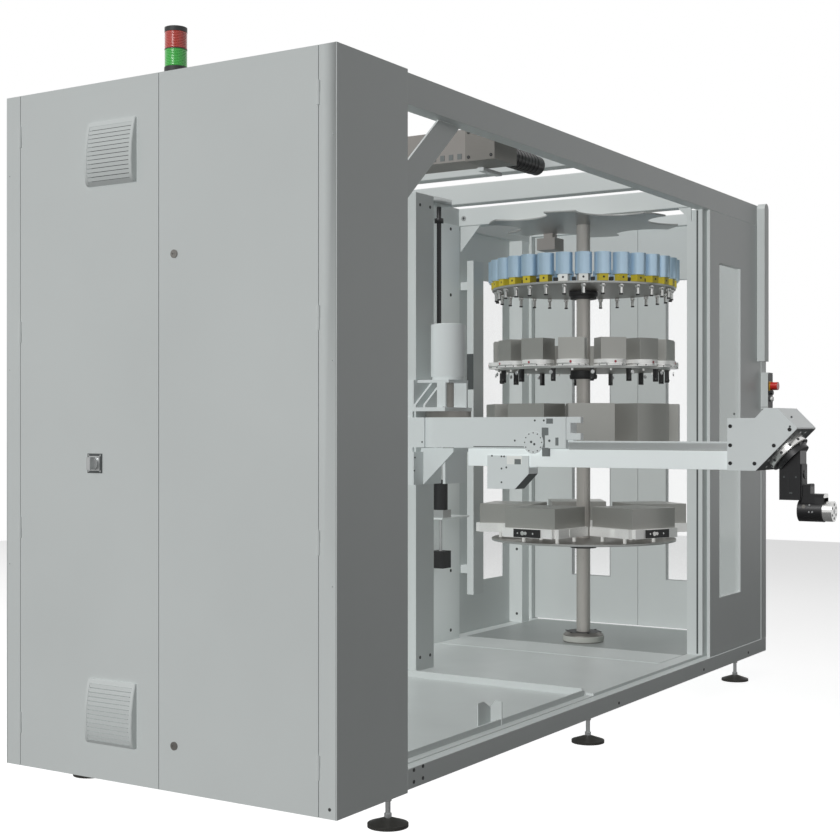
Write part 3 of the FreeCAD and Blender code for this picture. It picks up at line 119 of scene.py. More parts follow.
class CellSizes(bpy.types.PropertyGroup):
    """Sizes of the details that the looks add."""

    tube_edge: length("Tube radius", "Rounding of the roof's square tubes", 0.005)
    seam_gap: length("Seam width", "Width of the shadow gap in the side post", 0.008)
    slats: whole("Grille slats", "Number of slats in a filter grille", 13)


class CellLight(bpy.types.PropertyGroup):
    """Strength of the studio light."""

    key: amount("Key light", "Strength of the light from the cabinet's side", 0.12, 20)
    fill: amount("Fill light", "Strength of the light that reaches into the cell", 2.06, 20)
    sky: amount("Sky", "Strength of the even light from all round", 0.11, 5)
    back: amount("Back light", "Strength of the light on the cell's rear and closed sides", 0.6, 20)
    inside: amount("Inside lamp", "Power of the soft lamp that lights the closed side's lining", 2.4, 50)


def ring(count, shift=0.0):
    """Angles in radians evenly round a circle, moved on by a share of their pitch."""
    return [math.tau * (k + shift) / count for k in range(count)]


def seats(start, count):
    """Angles in degrees of the seats evenly round a circle, from the first one's angle."""
    return [start + 360 / count * k for k in range(count)]


class Shape:
    """Gathers the solids of one piece in millimetres, each with its own finish, into one mesh object."""

    def __init__(self):
        self.mesh = bmesh.new()
        self.finishes = []

    def keep(self, faces, finish):
        """Give faces their finish and smooth shading."""
        if finish not in self.finishes:
            self.finishes.append(finish)
        for face in faces:
            face.material_index = self.finishes.index(finish)
            face.smooth = True

    def rounded(self, verts, finish, edge):
        """Keep the faces at some corners, with their sharp edges rounded by a radius."""
        faces = list({f for v in verts for f in v.link_faces})
        self.keep(faces, finish)
        if edge:
            sharp = math.radians(30)
            edges = [e for e in {e for f in faces for e in f.edges} if e.calc_face_angle(0) > sharp]
            made = bmesh.ops.bevel(self.mesh, geom=edges, offset=edge, segments=2, affect="EDGES",
                                   clamp_overlap=True)
            self.keep(made["faces"], finish)

    def prism(self, outline, across, finish, edge=0.0, turn=Matrix()):
        """A flat outline of (u, v) points between two places along the third axis, moved by turn."""
        ends = [[self.mesh.verts.new(turn @ Vector((u, v, w))) for u, v in outline] for w in across]
        faces = [self.mesh.faces.new(ends[0][::-1]), self.mesh.faces.new(ends[1])]
        for k in range(len(outline)):
            j = (k + 1) % len(outline)
            faces.append(self.mesh.faces.new((ends[0][k], ends[0][j], ends[1][j], ends[1][k])))
        bmesh.ops.recalc_face_normals(self.mesh, faces=faces)
        self.rounded(ends[0] + ends[1], finish, edge)

    def sideways(self, outline, across, finish, edge=0.0):
        """An outline of (y, z) points that runs along X."""
        self.prism(outline, across, finish, edge, ALONG_X)

    def upright(self, outline, across, finish, edge=0.0):
        """An outline of (x, z) points that runs along Y."""
        self.prism(outline, across, finish, edge, ALONG_Y)

    def box(self, low, high, finish, edge=0.0, turn=Matrix()):
        """A box between two opposite corners, moved by turn."""
        outline = ((low[0], low[1]), (high[0], low[1]), (high[0], high[1]), (low[0], high[1]))
        self.prism(outline, (low[2], high[2]), finish, edge, turn)

    def turned(self, start, axis, profile, finish, sides=32):
        """A turned form: (radius, height) pairs from start along an axis, closed at both ends."""
        turn = Matrix.Translation(start) @ Vector(axis).to_track_quat("Z", "Y").to_matrix().to_4x4()
        rings = []
        for radius, height in profile:
            points = [Vector((radius * math.cos(a), radius * math.sin(a), height)) for a in ring(sides)]
            rings.append([self.mesh.verts.new(turn @ point) for point in points])
        faces = [self.mesh.faces.new(rings[0][::-1]), self.mesh.faces.new(rings[-1])]
        for low, high in zip(rings, rings[1:]):
            for k in range(sides):
                j = (k + 1) % sides
                faces.append(self.mesh.faces.new((low[k], low[j], high[j], high[k])))
        self.keep(faces, finish)

    def rod(self, start, axis, radius, long, finish, edge=0.4, sides=24):
        """A rod from start along an axis, with both ends chamfered."""
        edge = min(edge, radius / 3, long / 3)
        profile = ((radius - edge, 0), (radius, edge), (radius, long - edge), (radius - edge, long))
        self.turned(start, axis, profile, finish, sides)

    def screw(self, spot, axis, radius=5.0, finish="BlackPlastic", rise=1.5):
        """A socket screw's head with a flat dark grey hexagon in place of its socket; on heads lighter than
        it, the hexagon is painted shade of the socket.
        """
        self.rod(spot, axis, radius, rise, finish, sides=16)
        top = Vector(spot) + Vector(axis) * (rise - 0.2)
        # Painted shade: a flat dark grey hexagon stands in for the socket's hole
        self.turned(top, axis, ((radius * 0.5, 0), (radius * 0.5, 0.3)), "DarkGreyAndPaintedShade", 6)

    def data(self, name):
        """The gathered solids as mesh data in metres, with a slot for each finish."""
        data = bpy.data.meshes.new(name)
        self.mesh.transform(Matrix.Scale(MM, 4))
        self.mesh.to_mesh(data)
        self.mesh.free()
        for finish in self.finishes:
            data.materials.append(bpy.data.materials[finish])
        return data

    def piece(self, name, body, replaces=()):
        """The gathered solids as an object that rides on a body, in place of the nodes that it replaces."""
        data = self.data(name)
        data.set_sharp_from_angle(angle=math.radians(35))
        made = bpy.data.objects.new(name, data)
        bpy.context.scene.collection.objects.link(made)
        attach(made, body)
        if replaces:
            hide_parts(*replaces)


def polar(angle, radius, height=0.0):
    """A point round the magazine's shaft, at an angle in degrees."""
    turn = math.radians(angle)
    return Vector((radius * math.cos(turn), radius * math.sin(turn), height))


def round_wrist(angle):
    """A direction square to the wrist's axis, at an angle in radians."""
    return WRIST_UP * math.cos(angle) + Y * math.sin(angle)


def surface(name, base, metallic=0.0, roughness=0.45, spread=0.06, grain=60.0, bump=0.02, uneven=0.08,
            coat=0.0, stretch=(1, 1, 1)):
    """A procedural surface: its colour and roughness vary a little, and fine relief catches the light."""
    made = bpy.data.materials.new(name)
    made.use_nodes = True
    made.diffuse_color = (*base, 1)
    nodes, links = made.node_tree.nodes, made.node_tree.links
    shader = nodes["Principled BSDF"]
    shader.inputs["Metallic"].default_value = metallic
    shader.inputs["Coat Weight"].default_value = coat
    place = nodes.new("ShaderNodeTexCoord")
    scale = nodes.new("ShaderNodeMapping")
    scale.inputs["Scale"].default_value = stretch
    links.new(place.outputs["Object"], scale.inputs["Vector"])
    cloud = nodes.new("ShaderNodeTexNoise")
    cloud.inputs["Scale"].default_value = 2.2
    cloud.inputs["Detail"].default_value = 3
    fine = nodes.new("ShaderNodeTexNoise")
    fine.inputs["Scale"].default_value = grain
    fine.inputs["Detail"].default_value = 4
    links.new(scale.outputs["Vector"], fine.inputs["Vector"])
    links.new(place.outputs["Object"], cloud.inputs["Vector"])
    shade = nodes.new("ShaderNodeValToRGB")
    darker, lighter = shade.color_ramp.elements
    darker.position, lighter.position = 0.3, 0.7
    darker.color = (*(c * (1 - spread) for c in base), 1)
    lighter.color = (*(min(1, c * (1 + spread)) for c in base), 1)
    links.new(cloud.outputs["Fac"], shade.inputs["Fac"])
    links.new(shade.outputs["Color"], shader.inputs["Base Color"])
    dull = nodes.new("ShaderNodeMapRange")
    dull.inputs["To Min"].default_value = max(0.02, roughness - uneven)
    dull.inputs["To Max"].default_value = min(1, roughness + uneven)
    links.new(fine.outputs["Fac"], dull.inputs["Value"])
    links.new(dull.outputs["Result"], shader.inputs["Roughness"])
    relief = nodes.new("ShaderNodeBump")
    relief.inputs["Strength"].default_value = bump
    relief.inputs["Distance"].default_value = 0.001
    links.new(fine.outputs["Fac"], relief.inputs["Height"])
    links.new(relief.outputs["Normal"], shader.inputs["Normal"])
    return made


class CELL_OT_finishes(bpy.types.Operator):
    """Make every surface finish of the cell"""

    bl_idname = "cell.finishes"
    bl_label = "Finishes"

    def execute(self, context):
        c = context.scene.cell_colours
        surface("CabinetPaint", c.paint, roughness=0.42, spread=0.018, grain=900, bump=0.05)
        surface("FramePaint", [v * 0.97 for v in c.paint], roughness=0.40, spread=0.02, grain=900, bump=0.05)
        surface("InsidePaint", [min(1, v * 1.03) for v in c.paint], roughness=0.5, spread=0.02,
                grain=700, bump=0.04)
        surface("FloorPaint", [v * 0.92 for v in c.paint], roughness=0.38, spread=0.05, grain=500, bump=0.04)
        surface("RobotPaint", c.robot, roughness=0.38, spread=0.02, grain=900, bump=0.04, coat=0.1)
        surface("RobotShade", tone(112, 117, 117), roughness=0.5, spread=0.05, grain=600)
        surface("BlackAnodised", tone(34, 34, 35), metallic=0.3, roughness=0.36, spread=0.10, grain=400)
        surface("BlackPlastic", tone(26, 26, 27), roughness=0.5, spread=0.08, grain=300, bump=0.06)
        # Dark grey of the dark panels, plates, rims and screws; also painted shade on the head's and arm's
        # slanted faces, in screw sockets, in the large pallets' slots and in the side post's seam
        surface("DarkGreyAndPaintedShade", tone(72, 76, 76), roughness=0.5, spread=0.05, grain=400)
        surface("DarkSteel", tone(126, 124, 120), metallic=0.6, roughness=0.38, spread=0.10, grain=200)
        surface("ShaftSteel", tone(176, 173, 168), metallic=0.3, roughness=0.30, spread=0.06, grain=160,
                stretch=(1, 1, 0.05))
        surface("BrightSteel", tone(214, 214, 212), metallic=0.9, roughness=0.20, spread=0.05, grain=300,
                bump=0.03)
        surface("SatinSteel", tone(184, 186, 186), metallic=0.7, roughness=0.36, spread=0.05, grain=300)
        surface("BeamPaint", [min(1, v * 1.34) for v in c.robot], roughness=0.34, spread=0.02, grain=900,
                bump=0.03, coat=0.1)
        surface("DiscRim", tone(168, 170, 168), metallic=0.5, roughness=0.34, spread=0.05, grain=300)
        surface("DriveGrey", tone(150, 146, 142), roughness=0.45, spread=0.05, grain=300)
        surface("BearingGrey", tone(176, 178, 172), roughness=0.42, spread=0.04, grain=300)
        surface("FloorShade", tone(146, 151, 150), roughness=0.4, spread=0.05, grain=500)
        # Painted shade: the cabinet paint made a tenth darker for the rear doors, so that they look less lit
        # than the front
        surface("RearDoorPaintedShade", [v * 0.90 for v in c.paint], roughness=0.5, spread=0.02, grain=700, bump=0.04)
        surface("FloorLight", [v * 0.95 for v in c.paint], roughness=0.42, spread=0.03, grain=500)
        # Painted light: the inside paint made 1.3 times lighter, so that the closed side's lining looks lit
        surface("LiningPaintedLight", [min(1, v * 1.3) for v in c.paint], roughness=0.5, spread=0.02, grain=700,
                bump=0.04)
        surface("PalletSteel", tone(232, 232, 230), metallic=0.25, roughness=0.30, spread=0.05, grain=260)
        surface("Workpiece", c.blocks, metallic=0.6, roughness=0.42, spread=0.03, grain=240, bump=0.05)
        surface("BlankAlloy", c.blanks, metallic=0.55, roughness=0.32, spread=0.04, grain=300, bump=0.03,
                stretch=(1, 1, 0.1))
        surface("HolderYellow", c.holders, roughness=0.45, spread=0.06, grain=300)
        surface("HolderWhite", tone(232, 233, 230), roughness=0.42, spread=0.03, grain=300)
        surface("StopRed", c.emergency, roughness=0.28, spread=0.04, grain=200, coat=0.3)
        surface("StopYellow", tone(208, 170, 60), roughness=0.4, spread=0.05, grain=200)
        surface("RubyDot", tone(150, 50, 60), roughness=0.3, spread=0.05, grain=200)
        surface("FootBlack", tone(58, 57, 54), metallic=0.2, roughness=0.42, spread=0.10, grain=240,
                bump=0.05)
        surface("LensGreen", c.lens_green, roughness=0.22, spread=0.05, grain=150, coat=0.5)
        surface("LensRed", c.lens_red, roughness=0.22, spread=0.05, grain=150, coat=0.5)
        glass = surface("Glass", tone(236, 240, 240), roughness=0.06, spread=0.01, grain=100, bump=0.0,
                        uneven=0.02)
        glass.node_tree.nodes["Principled BSDF"].inputs["Alpha"].default_value = 0.12
        return {"FINISHED"}


# Each CAD node's finish and its edge rounding in millimetres; the roof's cross beams use tube_edge
DRESS = (
    ("cabinet_sides", "CabinetPaint", 1), ("cabinet_panels", "CabinetPaint", 1),
    ("left_door", "CabinetPaint", 1), ("right_door", "CabinetPaint", 1), ("control_gear", "DarkGreyAndPaintedShade", 1),
    ("door_hinges", "SatinSteel", 0), ("switch_plate", "DarkGreyAndPaintedShade", 1),
    ("main_switch_handle", "SatinSteel", 1), ("upper_lock", "DarkSteel", 0.3),
    ("lower_lock", "DarkSteel", 0.3), ("base_frame", "FramePaint", 2), ("floor_tray", "FloorPaint", 1),
    ("roof_side_beams", "FramePaint", 1), ("roof_cross_beams", "InsidePaint", 5),
    ("upright_posts", "FramePaint", 1), ("knee_braces", "FramePaint", 1), ("left_wall", "InsidePaint", 1),
    ("side_panel", "CabinetPaint", 1), ("side_window_panes", "Glass", 0),
    # The rear doors take the darker copy of the cabinet paint as painted shade
    ("rear_left_door", "RearDoorPaintedShade", 1), ("rear_right_door", "RearDoorPaintedShade", 1),
    ("rear_left_pane", "Glass", 0), ("rear_right_pane", "Glass", 0),
    ("rear_door_handle", "BlackPlastic", 1), ("operator_box", "CabinetPaint", 1),
    ("start_button", "BlackPlastic", 1), ("stop_button", "HolderWhite", 1),
    ("robot_column", "FramePaint", 2), ("lift_rod", "BlackAnodised", 0), ("lift_drive", "DarkSteel", 2),
    ("service_unit", "FramePaint", 1), ("carriage", "RobotPaint", 1), ("swivel_motor", "RobotPaint", 2),
    ("arm_housing", "RobotPaint", 2), ("swivel_shaft", "DarkSteel", 0.5), ("arm_fittings", "RobotPaint", 1),
    ("telescopic_beam", "RobotPaint", 1), ("head_housing", "RobotPaint", 2),
    ("wrist_body", "BlackAnodised", 1), ("gripper_body", "BlackAnodised", 0.6),
    ("clamp_bolt", "BrightSteel", 0.6), ("floor_bearing", "DarkSteel", 1.5), ("star_plate", "DiscRim", 1),
    ("magazine_drive", "DriveGrey", 1), ("magazine_shaft", "ShaftSteel", 1),
    ("magazine_discs", "DarkSteel", 1), ("tool_blanks", "BlankAlloy", 1),
    ("tool_holders", "HolderYellow", 0.6), ("round_pallets", "PalletSteel", 1.5),
    ("round_workpieces", "Workpiece", 0.8), ("large_pallets", "PalletSteel", 1.5),
    ("large_workpieces", "Workpiece", 0.8), ("square_pallets", "PalletSteel", 1.5),
    ("square_workpieces", "Workpiece", 0.8), ("filter_grilles", "CabinetPaint", 1),
    ("tower_body", "BlackPlastic", 1), ("green_lens", "LensGreen", 1), ("red_lens", "LensRed", 1),
    ("levelling_feet", "FootBlack", 1), ("estop_button", "StopRed", 1),
)


class CELL_OT_dress(bpy.types.Operator):
    """Give each CAD node its finish and soft edges"""

    bl_idname = "cell.dress"
    bl_label = "Dress the Nodes"

    def execute(self, context):
        for node, name, edge in DRESS:
            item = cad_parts[node]
            item.data.materials.clear()
            item.data.materials.append(bpy.data.materials[name])
            join = item.modifiers.new("Join", "WELD")
            join.merge_threshold = 0.00001
            if edge:
                soft = item.modifiers.new("Soft edges", "BEVEL")
                soft.width = context.scene.cell_sizes.tube_edge if node == "roof_cross_beams" else edge * MM
                soft.segments = 2
                soft.limit_method = "ANGLE"
                soft.angle_limit = math.radians(40)
            even = item.modifiers.new("Even shading", "WEIGHTED_NORMAL")
            even.keep_sharp = False
            for face in item.data.polygons:
                face.use_smooth = True
        return {"FINISHED"}


def tint(node, name, chosen):
    """Give a second finish to the faces of a CAD node whose centre, in millimetres, and normal are chosen."""
    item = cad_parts[node]
    item.data.materials.append(bpy.data.materials[name])
    place = item.matrix_world
    for face in item.data.polygons:
        centre = place @ face.center / MM
        if chosen(centre, place.to_3x3() @ face.normal):
            face.material_index = len(item.data.materials) - 1


def turn_of(point):
    """Angle of a point round the magazine's shaft, in degrees."""
    return math.degrees(math.atan2(point.y, point.x))


def slot_reach(point):
    """How far out a point lies along the middle of the square pallet that it is on, in millimetres."""
    pitch = 360 / SQUARE_COUNT
    turn = (turn_of(point) - SQUARE_START + pitch / 2) % pitch - pitch / 2
    return point.xy.length * math.cos(math.radians(turn))


def slants_down(normal):
    """Whether a face looks out towards +X and down at a slant."""
    return normal.x > 0.6 and normal.z < -0.6


def tint_robot():
    """Second finishes of the beam, the head, the wrist, the gripper and the arm's fittings."""
    beam_low, beam_high, rail_top = 1054, 1126, 1151
    rail_front, rail_back = -1184, -1130
    head_cheek, clamp_start = -1201.2, 1489
    tint("telescopic_beam", "SatinSteel",
         lambda c, n: beam_high < c.z < rail_top and rail_front < c.y < rail_back)
    tint("telescopic_beam", "BeamPaint", lambda c, n: beam_low <= c.z <= beam_high)
    tint("head_housing", "BlackAnodised", lambda c, n: c.y < head_cheek)
    # Painted shade: the head's faces that look towards +X and down at a slant are dark grey
    tint("head_housing", "DarkGreyAndPaintedShade", lambda c, n: slants_down(n))
    tint("wrist_body", "BrightSteel", lambda c, n: (c - WRIST_CENTRE).dot(WRIST_AXIS) < WRIST_FLANGE + 0.1)
    tint("gripper_body", "BrightSteel", lambda c, n: c.x > clamp_start)
    # Painted shade: the arm fittings' faces that look towards +X and down at a slant are dark grey
    tint("arm_fittings", "DarkGreyAndPaintedShade", lambda c, n: slants_down(n))


def tint_magazine():
    """Second finishes of the holders, the pallets, the shaft, its discs and its lower bearing."""
    holder_foot, holder_body = 1872, 1873
    round_plate, square_foot, slots_top, slots_start = 1489, 711, 751, 497.5
    shaft_radius = 34
    white = seats(TOOL_START, TOOL_COUNT)[1:3]
    tint("tool_holders", "HolderWhite",
         lambda c, n: c.z > holder_body and any(abs(turn_of(c) - angle) < 5 for angle in white))
    tint("tool_holders", "BrightSteel", lambda c, n: c.z < holder_foot)
    tint("round_pallets", "BlackPlastic", lambda c, n: c.z < round_plate)
    tint("square_pallets", "HolderWhite", lambda c, n: c.z < square_foot)
    tint("square_pallets", "BlackPlastic",
         lambda c, n: square_foot < c.z < slots_top and abs(n.z) < 0.5 and slot_reach(c) > slots_start)
    tint("magazine_shaft", "BlackPlastic", lambda c, n: c.xy.length > shaft_radius)
    tint("magazine_discs", "DiscRim", lambda c, n: abs(n.z) < 0.5)
    tint("floor_bearing", "BlackPlastic", lambda c, n: n.z > 0.9)


def tint_drives():
    """Second finishes of the service unit, the roof's lift drive, its rod and the operator box."""
    stem_foot, stem_top, motor_foot, collar_foot, collar_top = 631.5, 779, 788.5, 789, 825
    motor_start, belt_box_end, belt_box_side, cover_side = -1670, -1672, 421, 540.5
    case_back, case_face, duct_foot, rod_bracket = 677.5, 705.5, 1490, 2165
    tint("service_unit", "BlackPlastic", lambda c, n: c.z > motor_foot or c.z < stem_foot)
    tint("service_unit", "SatinSteel",
         lambda c, n: collar_foot < c.z < collar_top or stem_foot < c.z < stem_top)
    tint("lift_drive", "BlackAnodised", lambda c, n: c.y > motor_start)
    tint("lift_drive", "RobotPaint", lambda c, n: c.x > cover_side)
    tint("lift_drive", "DriveGrey", lambda c, n: c.x < belt_box_side and c.y < belt_box_end)
    tint("operator_box", "BlackPlastic",
         lambda c, n: c.y > case_back or (c.x > case_face and c.z < duct_foot))
    tint("lift_rod", "FramePaint", lambda c, n: c.z > rod_bracket)


def tint_shell():
    """Second finishes of the feet, the closed side and the left cabinet door's filter openings."""
    foot_pad = 27
    lining, guide_bar, guide_front, guide_back = (-572, -565), (-589, -550), -101, 1
    door_face, filter_left, filter_right = -2976, -293, -89
    tint("levelling_feet", "SatinSteel", lambda c, n: c.z > foot_pad and abs(n.z) < 0.5)
    # Painted light: the closed side's lining takes the lighter copy of the inside paint
    tint("left_wall", "LiningPaintedLight", lambda c, n: lining[0] < c.x < lining[1])
    tint("left_wall", "FramePaint",
         lambda c, n: guide_bar[0] < c.x < guide_bar[1] and guide_front < c.y < guide_back)
    tint("left_door", "BlackPlastic",
         lambda c, n: door_face < c.y and abs(n.y) < 0.5 and filter_left < c.x < filter_right)


class CELL_OT_two_tone(bpy.types.Operator):
    """Give the second finishes of the nodes that have more than one"""

    bl_idname = "cell.two_tone"
    bl_label = "Second Finishes"

    def execute(self, context):
        tint_robot()
        tint_magazine()
        tint_drives()
        tint_shell()
        return {"FINISHED"}


def belly(share):
    """How far a filter cover stands out at a share of its height, in millimetres."""
    for (low, start), (high, end) in zip(COVER_BELLY, COVER_BELLY[1:]):
        if share <= high:
            return start + (end - start) * (share - low) / (high - low)
    return COVER_BELLY[-1][1]


def filter_cover(cover, foot, slats):
    """One cover over a filter: two cheeks, a dark back, two rails and the slats between them."""
    front, left, side, cheek = CABINET_FRONT, -292, 202, 13
    back = front + 0.5
    foot_rail, head_rail = 0.06, 0.93
    profile = [(front - out, foot + side * share) for share, out in COVER_BELLY]
    profile += [(back, foot + side), (back, foot)]
    for start in (left, left + side - cheek):
        cover.sideways(profile, (start, start + cheek), "CabinetPaint", 1.5)
    cover.box((left + 2, front - 3, foot + 2), (left + side - 2, back, foot + side - 2), "DarkGreyAndPaintedShade")
    for low, high in ((0, foot_rail), (head_rail, 1)):
        bar = [(front - belly(low), foot + side * low), (front - belly(high), foot + side * high),
               (front, foot + side * high), (front, foot + side * low)]
        cover.sideways(bar, (left + 1, left + side - 1), "CabinetPaint", 1.0)
    pitch = (head_rail - foot_rail) / slats
    for k in range(slats):
        low = foot_rail + pitch * (k + 0.22)
        high = low + pitch * 0.72
        low_out, high_out = front - belly(low), front - belly(high)
        blade = [(low_out + 4.5, foot + side * low), (low_out + 1, foot + side * low - 1.5),
                 (high_out, foot + side * high), (front - 3, foot + side * high)]
        cover.sideways(blade, (left + cheek - 1, left + side - cheek + 1), "CabinetPaint")


def filter_covers(slats):
    """The slatted covers over both filters of the left door."""
    cover = Shape()
    for foot in (214, 1972):
        filter_cover(cover, foot, slats)
    cover.piece("filter_covers", "left_door", ["filter_grilles"])


def frame_screws():
    """Screws along the base frame and at the cabinet's front edges."""
    screws = Shape()
    for y, z in ((-2572, 163), (-2572, 127), (-2520, 165), (-2520, 128),
                 (-1068, 127), (-160, 131), (420, 131)):
        screws.screw((SIDE, y, z), X, 6)
    screws.screw((645, CABINET_FRONT, 128), -Y, 5)
    for x in (-655, 655):
        for z in (760, 1400, 2040):
            screws.screw((x, CABINET_FRONT, z), -Y, 3, "CabinetPaint", 0.8)
    screws.piece("frame_screws", "cell")


def tower_rings():
    """Black rings between the signal tower's lenses, and the lenses' fine ribs."""
    rings = Shape()
    band, ribs, rib_pitch = 3, 11, 5
    for z in (2354, 2411, 2467):
        rings.rod((*TOWER, z - band / 2), Z, 36.2, band, "BlackPlastic", sides=48)
    for k in range(ribs):
        for start, name in ((2356.5, "LensGreen"), (2413.5, "LensRed")):
            rings.turned((*TOWER, start + k * rib_pitch), Z, ((35, 0), (35.8, 2.2), (35, 4.4)), name, 48)
    rings.piece("tower_rings", "cell")


def switch_bezel():
    """The bright plate round the main switch, with its four screws."""
    plate = Shape()
    left, right, low, high = -290, -244, 1074, 1120
    plate.box((left, CABINET_FRONT - 5.4, low), (right, CABINET_FRONT - 3.8, high), "SatinSteel", 0.6)
    for z in (low - 2, high + 2):
        for x in (left - 2, right + 2):
            plate.screw((x, CABINET_FRONT - 4, z), -Y, 3, "SatinSteel", 1.0)
    plate.piece("switch_bezel", "left_door")


class CELL_OT_cabinet(bpy.types.Operator):
    """Make the cabinet's slatted filter covers, screws and the signal tower's rings"""

    bl_idname = "cell.cabinet"
    bl_label = "Cabinet Details"

    def execute(self, context):
        filter_covers(context.scene.cell_sizes.slats)
        frame_screws()
        tower_rings()
        switch_bezel()
        return {"FINISHED"}


def roof_fittings():
    """End plugs, corner gussets and screws of the roof's tubes, and the lift drive's slots and ribs."""
    roof = Shape()
    tube_end, corner = -140, 602
    roof.screw((-582, tube_end, 2240), -Y, 13, "SatinSteel", 4)
    roof.rod((539, tube_end, 2240), -Y, 16, 6, "HolderWhite", 3)
    for inner, low in ((-490, 2074), (540, 2140)):
        outer = math.copysign(corner, inner)
        gusset = ((outer, 2200), (inner, 2200), (outer, low))
        roof.upright(gusset, (tube_end, tube_end + 8), "FramePaint", 0.8)
    for y in (-754, -1368):
        for x in (-570, 570):
            roof.screw((x, y, 2246), -Y, 9, "SatinSteel", 3)
    slot, pitch, drive_face = 18, 36, -1834.5
    for x in range(170, 420, pitch):
        roof.box((x, drive_face, 2172), (x + slot, drive_face + 2.5, 2192), "RobotShade", 0.5)
    roof.box((392, -1700, 2150), (418, -1560, 2163), "RobotPaint", 1)
    ribs, rib_pitch = 9, 26
    for k in range(ribs):
        roof.rod((480, -1660 + rib_pitch * k, 2206), Y, 37.5, 8, "BlackAnodised", 1, 40)
    for x in (434, 526):
        for z in (2176, 2264):
            roof.screw((x, drive_face - 1.5, z), -Y, 6, "BlackAnodised", 2)
    roof.piece("roof_fittings", "cell")


def wall_fittings(seam):
    """Screws of the lining and the posts, a plate, the rear panes' frames and a dark strip painted as the
    shade of the side post's seam.
    """
    walls = Shape()
    lining, rear_frame, post = -566, 607, 636
    for z in (231, 519, 1851, 2170):
        for y in (-294, -2200):
            walls.screw((lining, y, z), X, 8)
    for z in (300, 554, 1500, 1900):
        for x in (-post, post):
            walls.screw((x, rear_frame, z), -Y, 7)
    walls.box((-588, -101.5, 1398), (-551, -99.7, 1574), "DarkGreyAndPaintedShade", 0.5)
    for z in (569, 229):
        walls.screw((-601, 443, z), -Y, 7)
    # The panes' frames lie on the rear doors but ride on the cell, so they stay when a door opens
    near, far, pane_foot, pane_top = 641.5, 643.2, 430, 1964
    for x in (-376, -156, 156, 376):
        walls.box((x - 2, near, pane_foot), (x + 2, far, pane_top), "SatinSteel", 0.4)
    for z in (pane_foot, pane_top - 4):
        for left, right in ((-378, -154), (154, 378)):
            walls.box((left, near, z), (right, far, z + 4), "SatinSteel", 0.4)
    # Painted shade: a dark strip where the side post's seam leaves a gap
    walls.box((614, -105.8, 190), (614 + seam, -104.8, 2190), "DarkGreyAndPaintedShade")
    walls.piece("wall_fittings", "cell")


def floor_fittings():
    """The floor's raised strips, a dark plate of painted shade round the magazine's foot with a band of
    painted light before it, and the lower bearing's collar with its six screws.
    """
    floor = Shape()
    floor.upright(((-618, 176), (606, 176), (590, 203), (-618, 203)), (-1241, -1226), "FloorLight", 1)
    floor.box((596, -2590, 176), (604, -1240, 198), "FramePaint", 1)
    # Painted shade: a dark plate on the floor round the magazine's foot
    floor.box((-560, -150, 183.5), (566, 600, 186), "FloorShade", 0.5)
    # Painted light: a lighter band on the floor stands in for the lit front of a step
    floor.box((-560, -420, 183.5), (566, -152, 185.5), "FloorLight", 0.5)
    stop = ((560, 176), (606, 176), (606, 258), (582, 262), (560, 236))
    floor.upright(stop, (-1902, -1897), "FloorLight", 0.6)
    cheek = ((-1990, 176), (-1902, 176), (-1902, 236), (-1950, 262), (-1990, 262))
    floor.sideways(cheek, (558, 562), "FramePaint", 0.6)
    for angle in seats(12, 6):
        floor.screw(polar(angle, 84, 233.6), Z, 6, "BlackAnodised", 2.5)
    floor.turned((0, 0, 184), Z, ((97, 6), (98.5, 8), (98.5, 30), (97, 32)), "BearingGrey", 64)
    floor.piece("floor_fittings", "cell")


def foot_nuts():
    """The nuts of the outer levelling feet, and the plates under the frame above them."""
    feet = Shape()
    nut, thick = 13, 12
    for x in (-620, 620):
        for y, top in ((-2640, 99), (-1244, 107), (374, 107)):
            feet.rod((x, y, 28), Z, nut, thick, "SatinSteel", 1, 6)
            feet.box((x - 24, y - 30, top - 10), (x + 24, y + 30, top), "FramePaint", 1)
            feet.rod((x, y, top - 22), Z, nut, thick, "SatinSteel", 1, 6)
    feet.piece("foot_nuts", "cell")


class CELL_OT_frame(bpy.types.Operator):
    """Make the details of the roof, the walls and the floor"""

    bl_idname = "cell.frame"
    bl_label = "Frame Details"

    def execute(self, context):
        roof_fittings()
        wall_fittings(context.scene.cell_sizes.seam_gap / MM)
        floor_fittings()
        foot_nuts()
        return {"FINISHED"}


class CELL_OT_operator_box(bpy.types.Operator):
    """Make the operator box's plates"""

    bl_idname = "cell.operator_box"
    bl_label = "Operator Box Details"

    def execute(self, context):
        box = Shape()
        face, middle = 705, 636
        box.box((face, middle - 23, 1390), (face + 3, middle + 23, 1436), "StopYellow", 0.6)
        box.rod((face + 3, middle, 1413), X, 19, 1.6, "StopYellow", sides=40)
        for z in (1381, 1350):
            box.rod((face + 0.5, middle, z), X, 14, 3.2, "DarkGreyAndPaintedShade", 0.8, 32)
        for y in (middle - 28, middle + 28):
            for z in (1306, 1473):
                box.screw((face + 1, y, z), X, 3, "SatinSteel", 1)
        box.box((671, 599.6, 1309), (face, 600.4, 1311), "DarkGreyAndPaintedShade")
        box.piece("operator_plates", "cell")
        return {"FINISHED"}


def column_screws():
    """The screws of both guide rails and of the column's end plates."""
    column = Shape()
    rows, pitch = 24, 80
    for k in range(rows):
        for y, way in ((-1176, -Y), (-1004, Y)):
            column.screw((-275, y, 270 + pitch * k), way, 5, "DarkSteel", 0.8)
    for z in (240, 2150):
        for y in (-1130, -1050):
            column.screw((-215, y, z), X, 7)
    column.piece("column_screws", "cell")


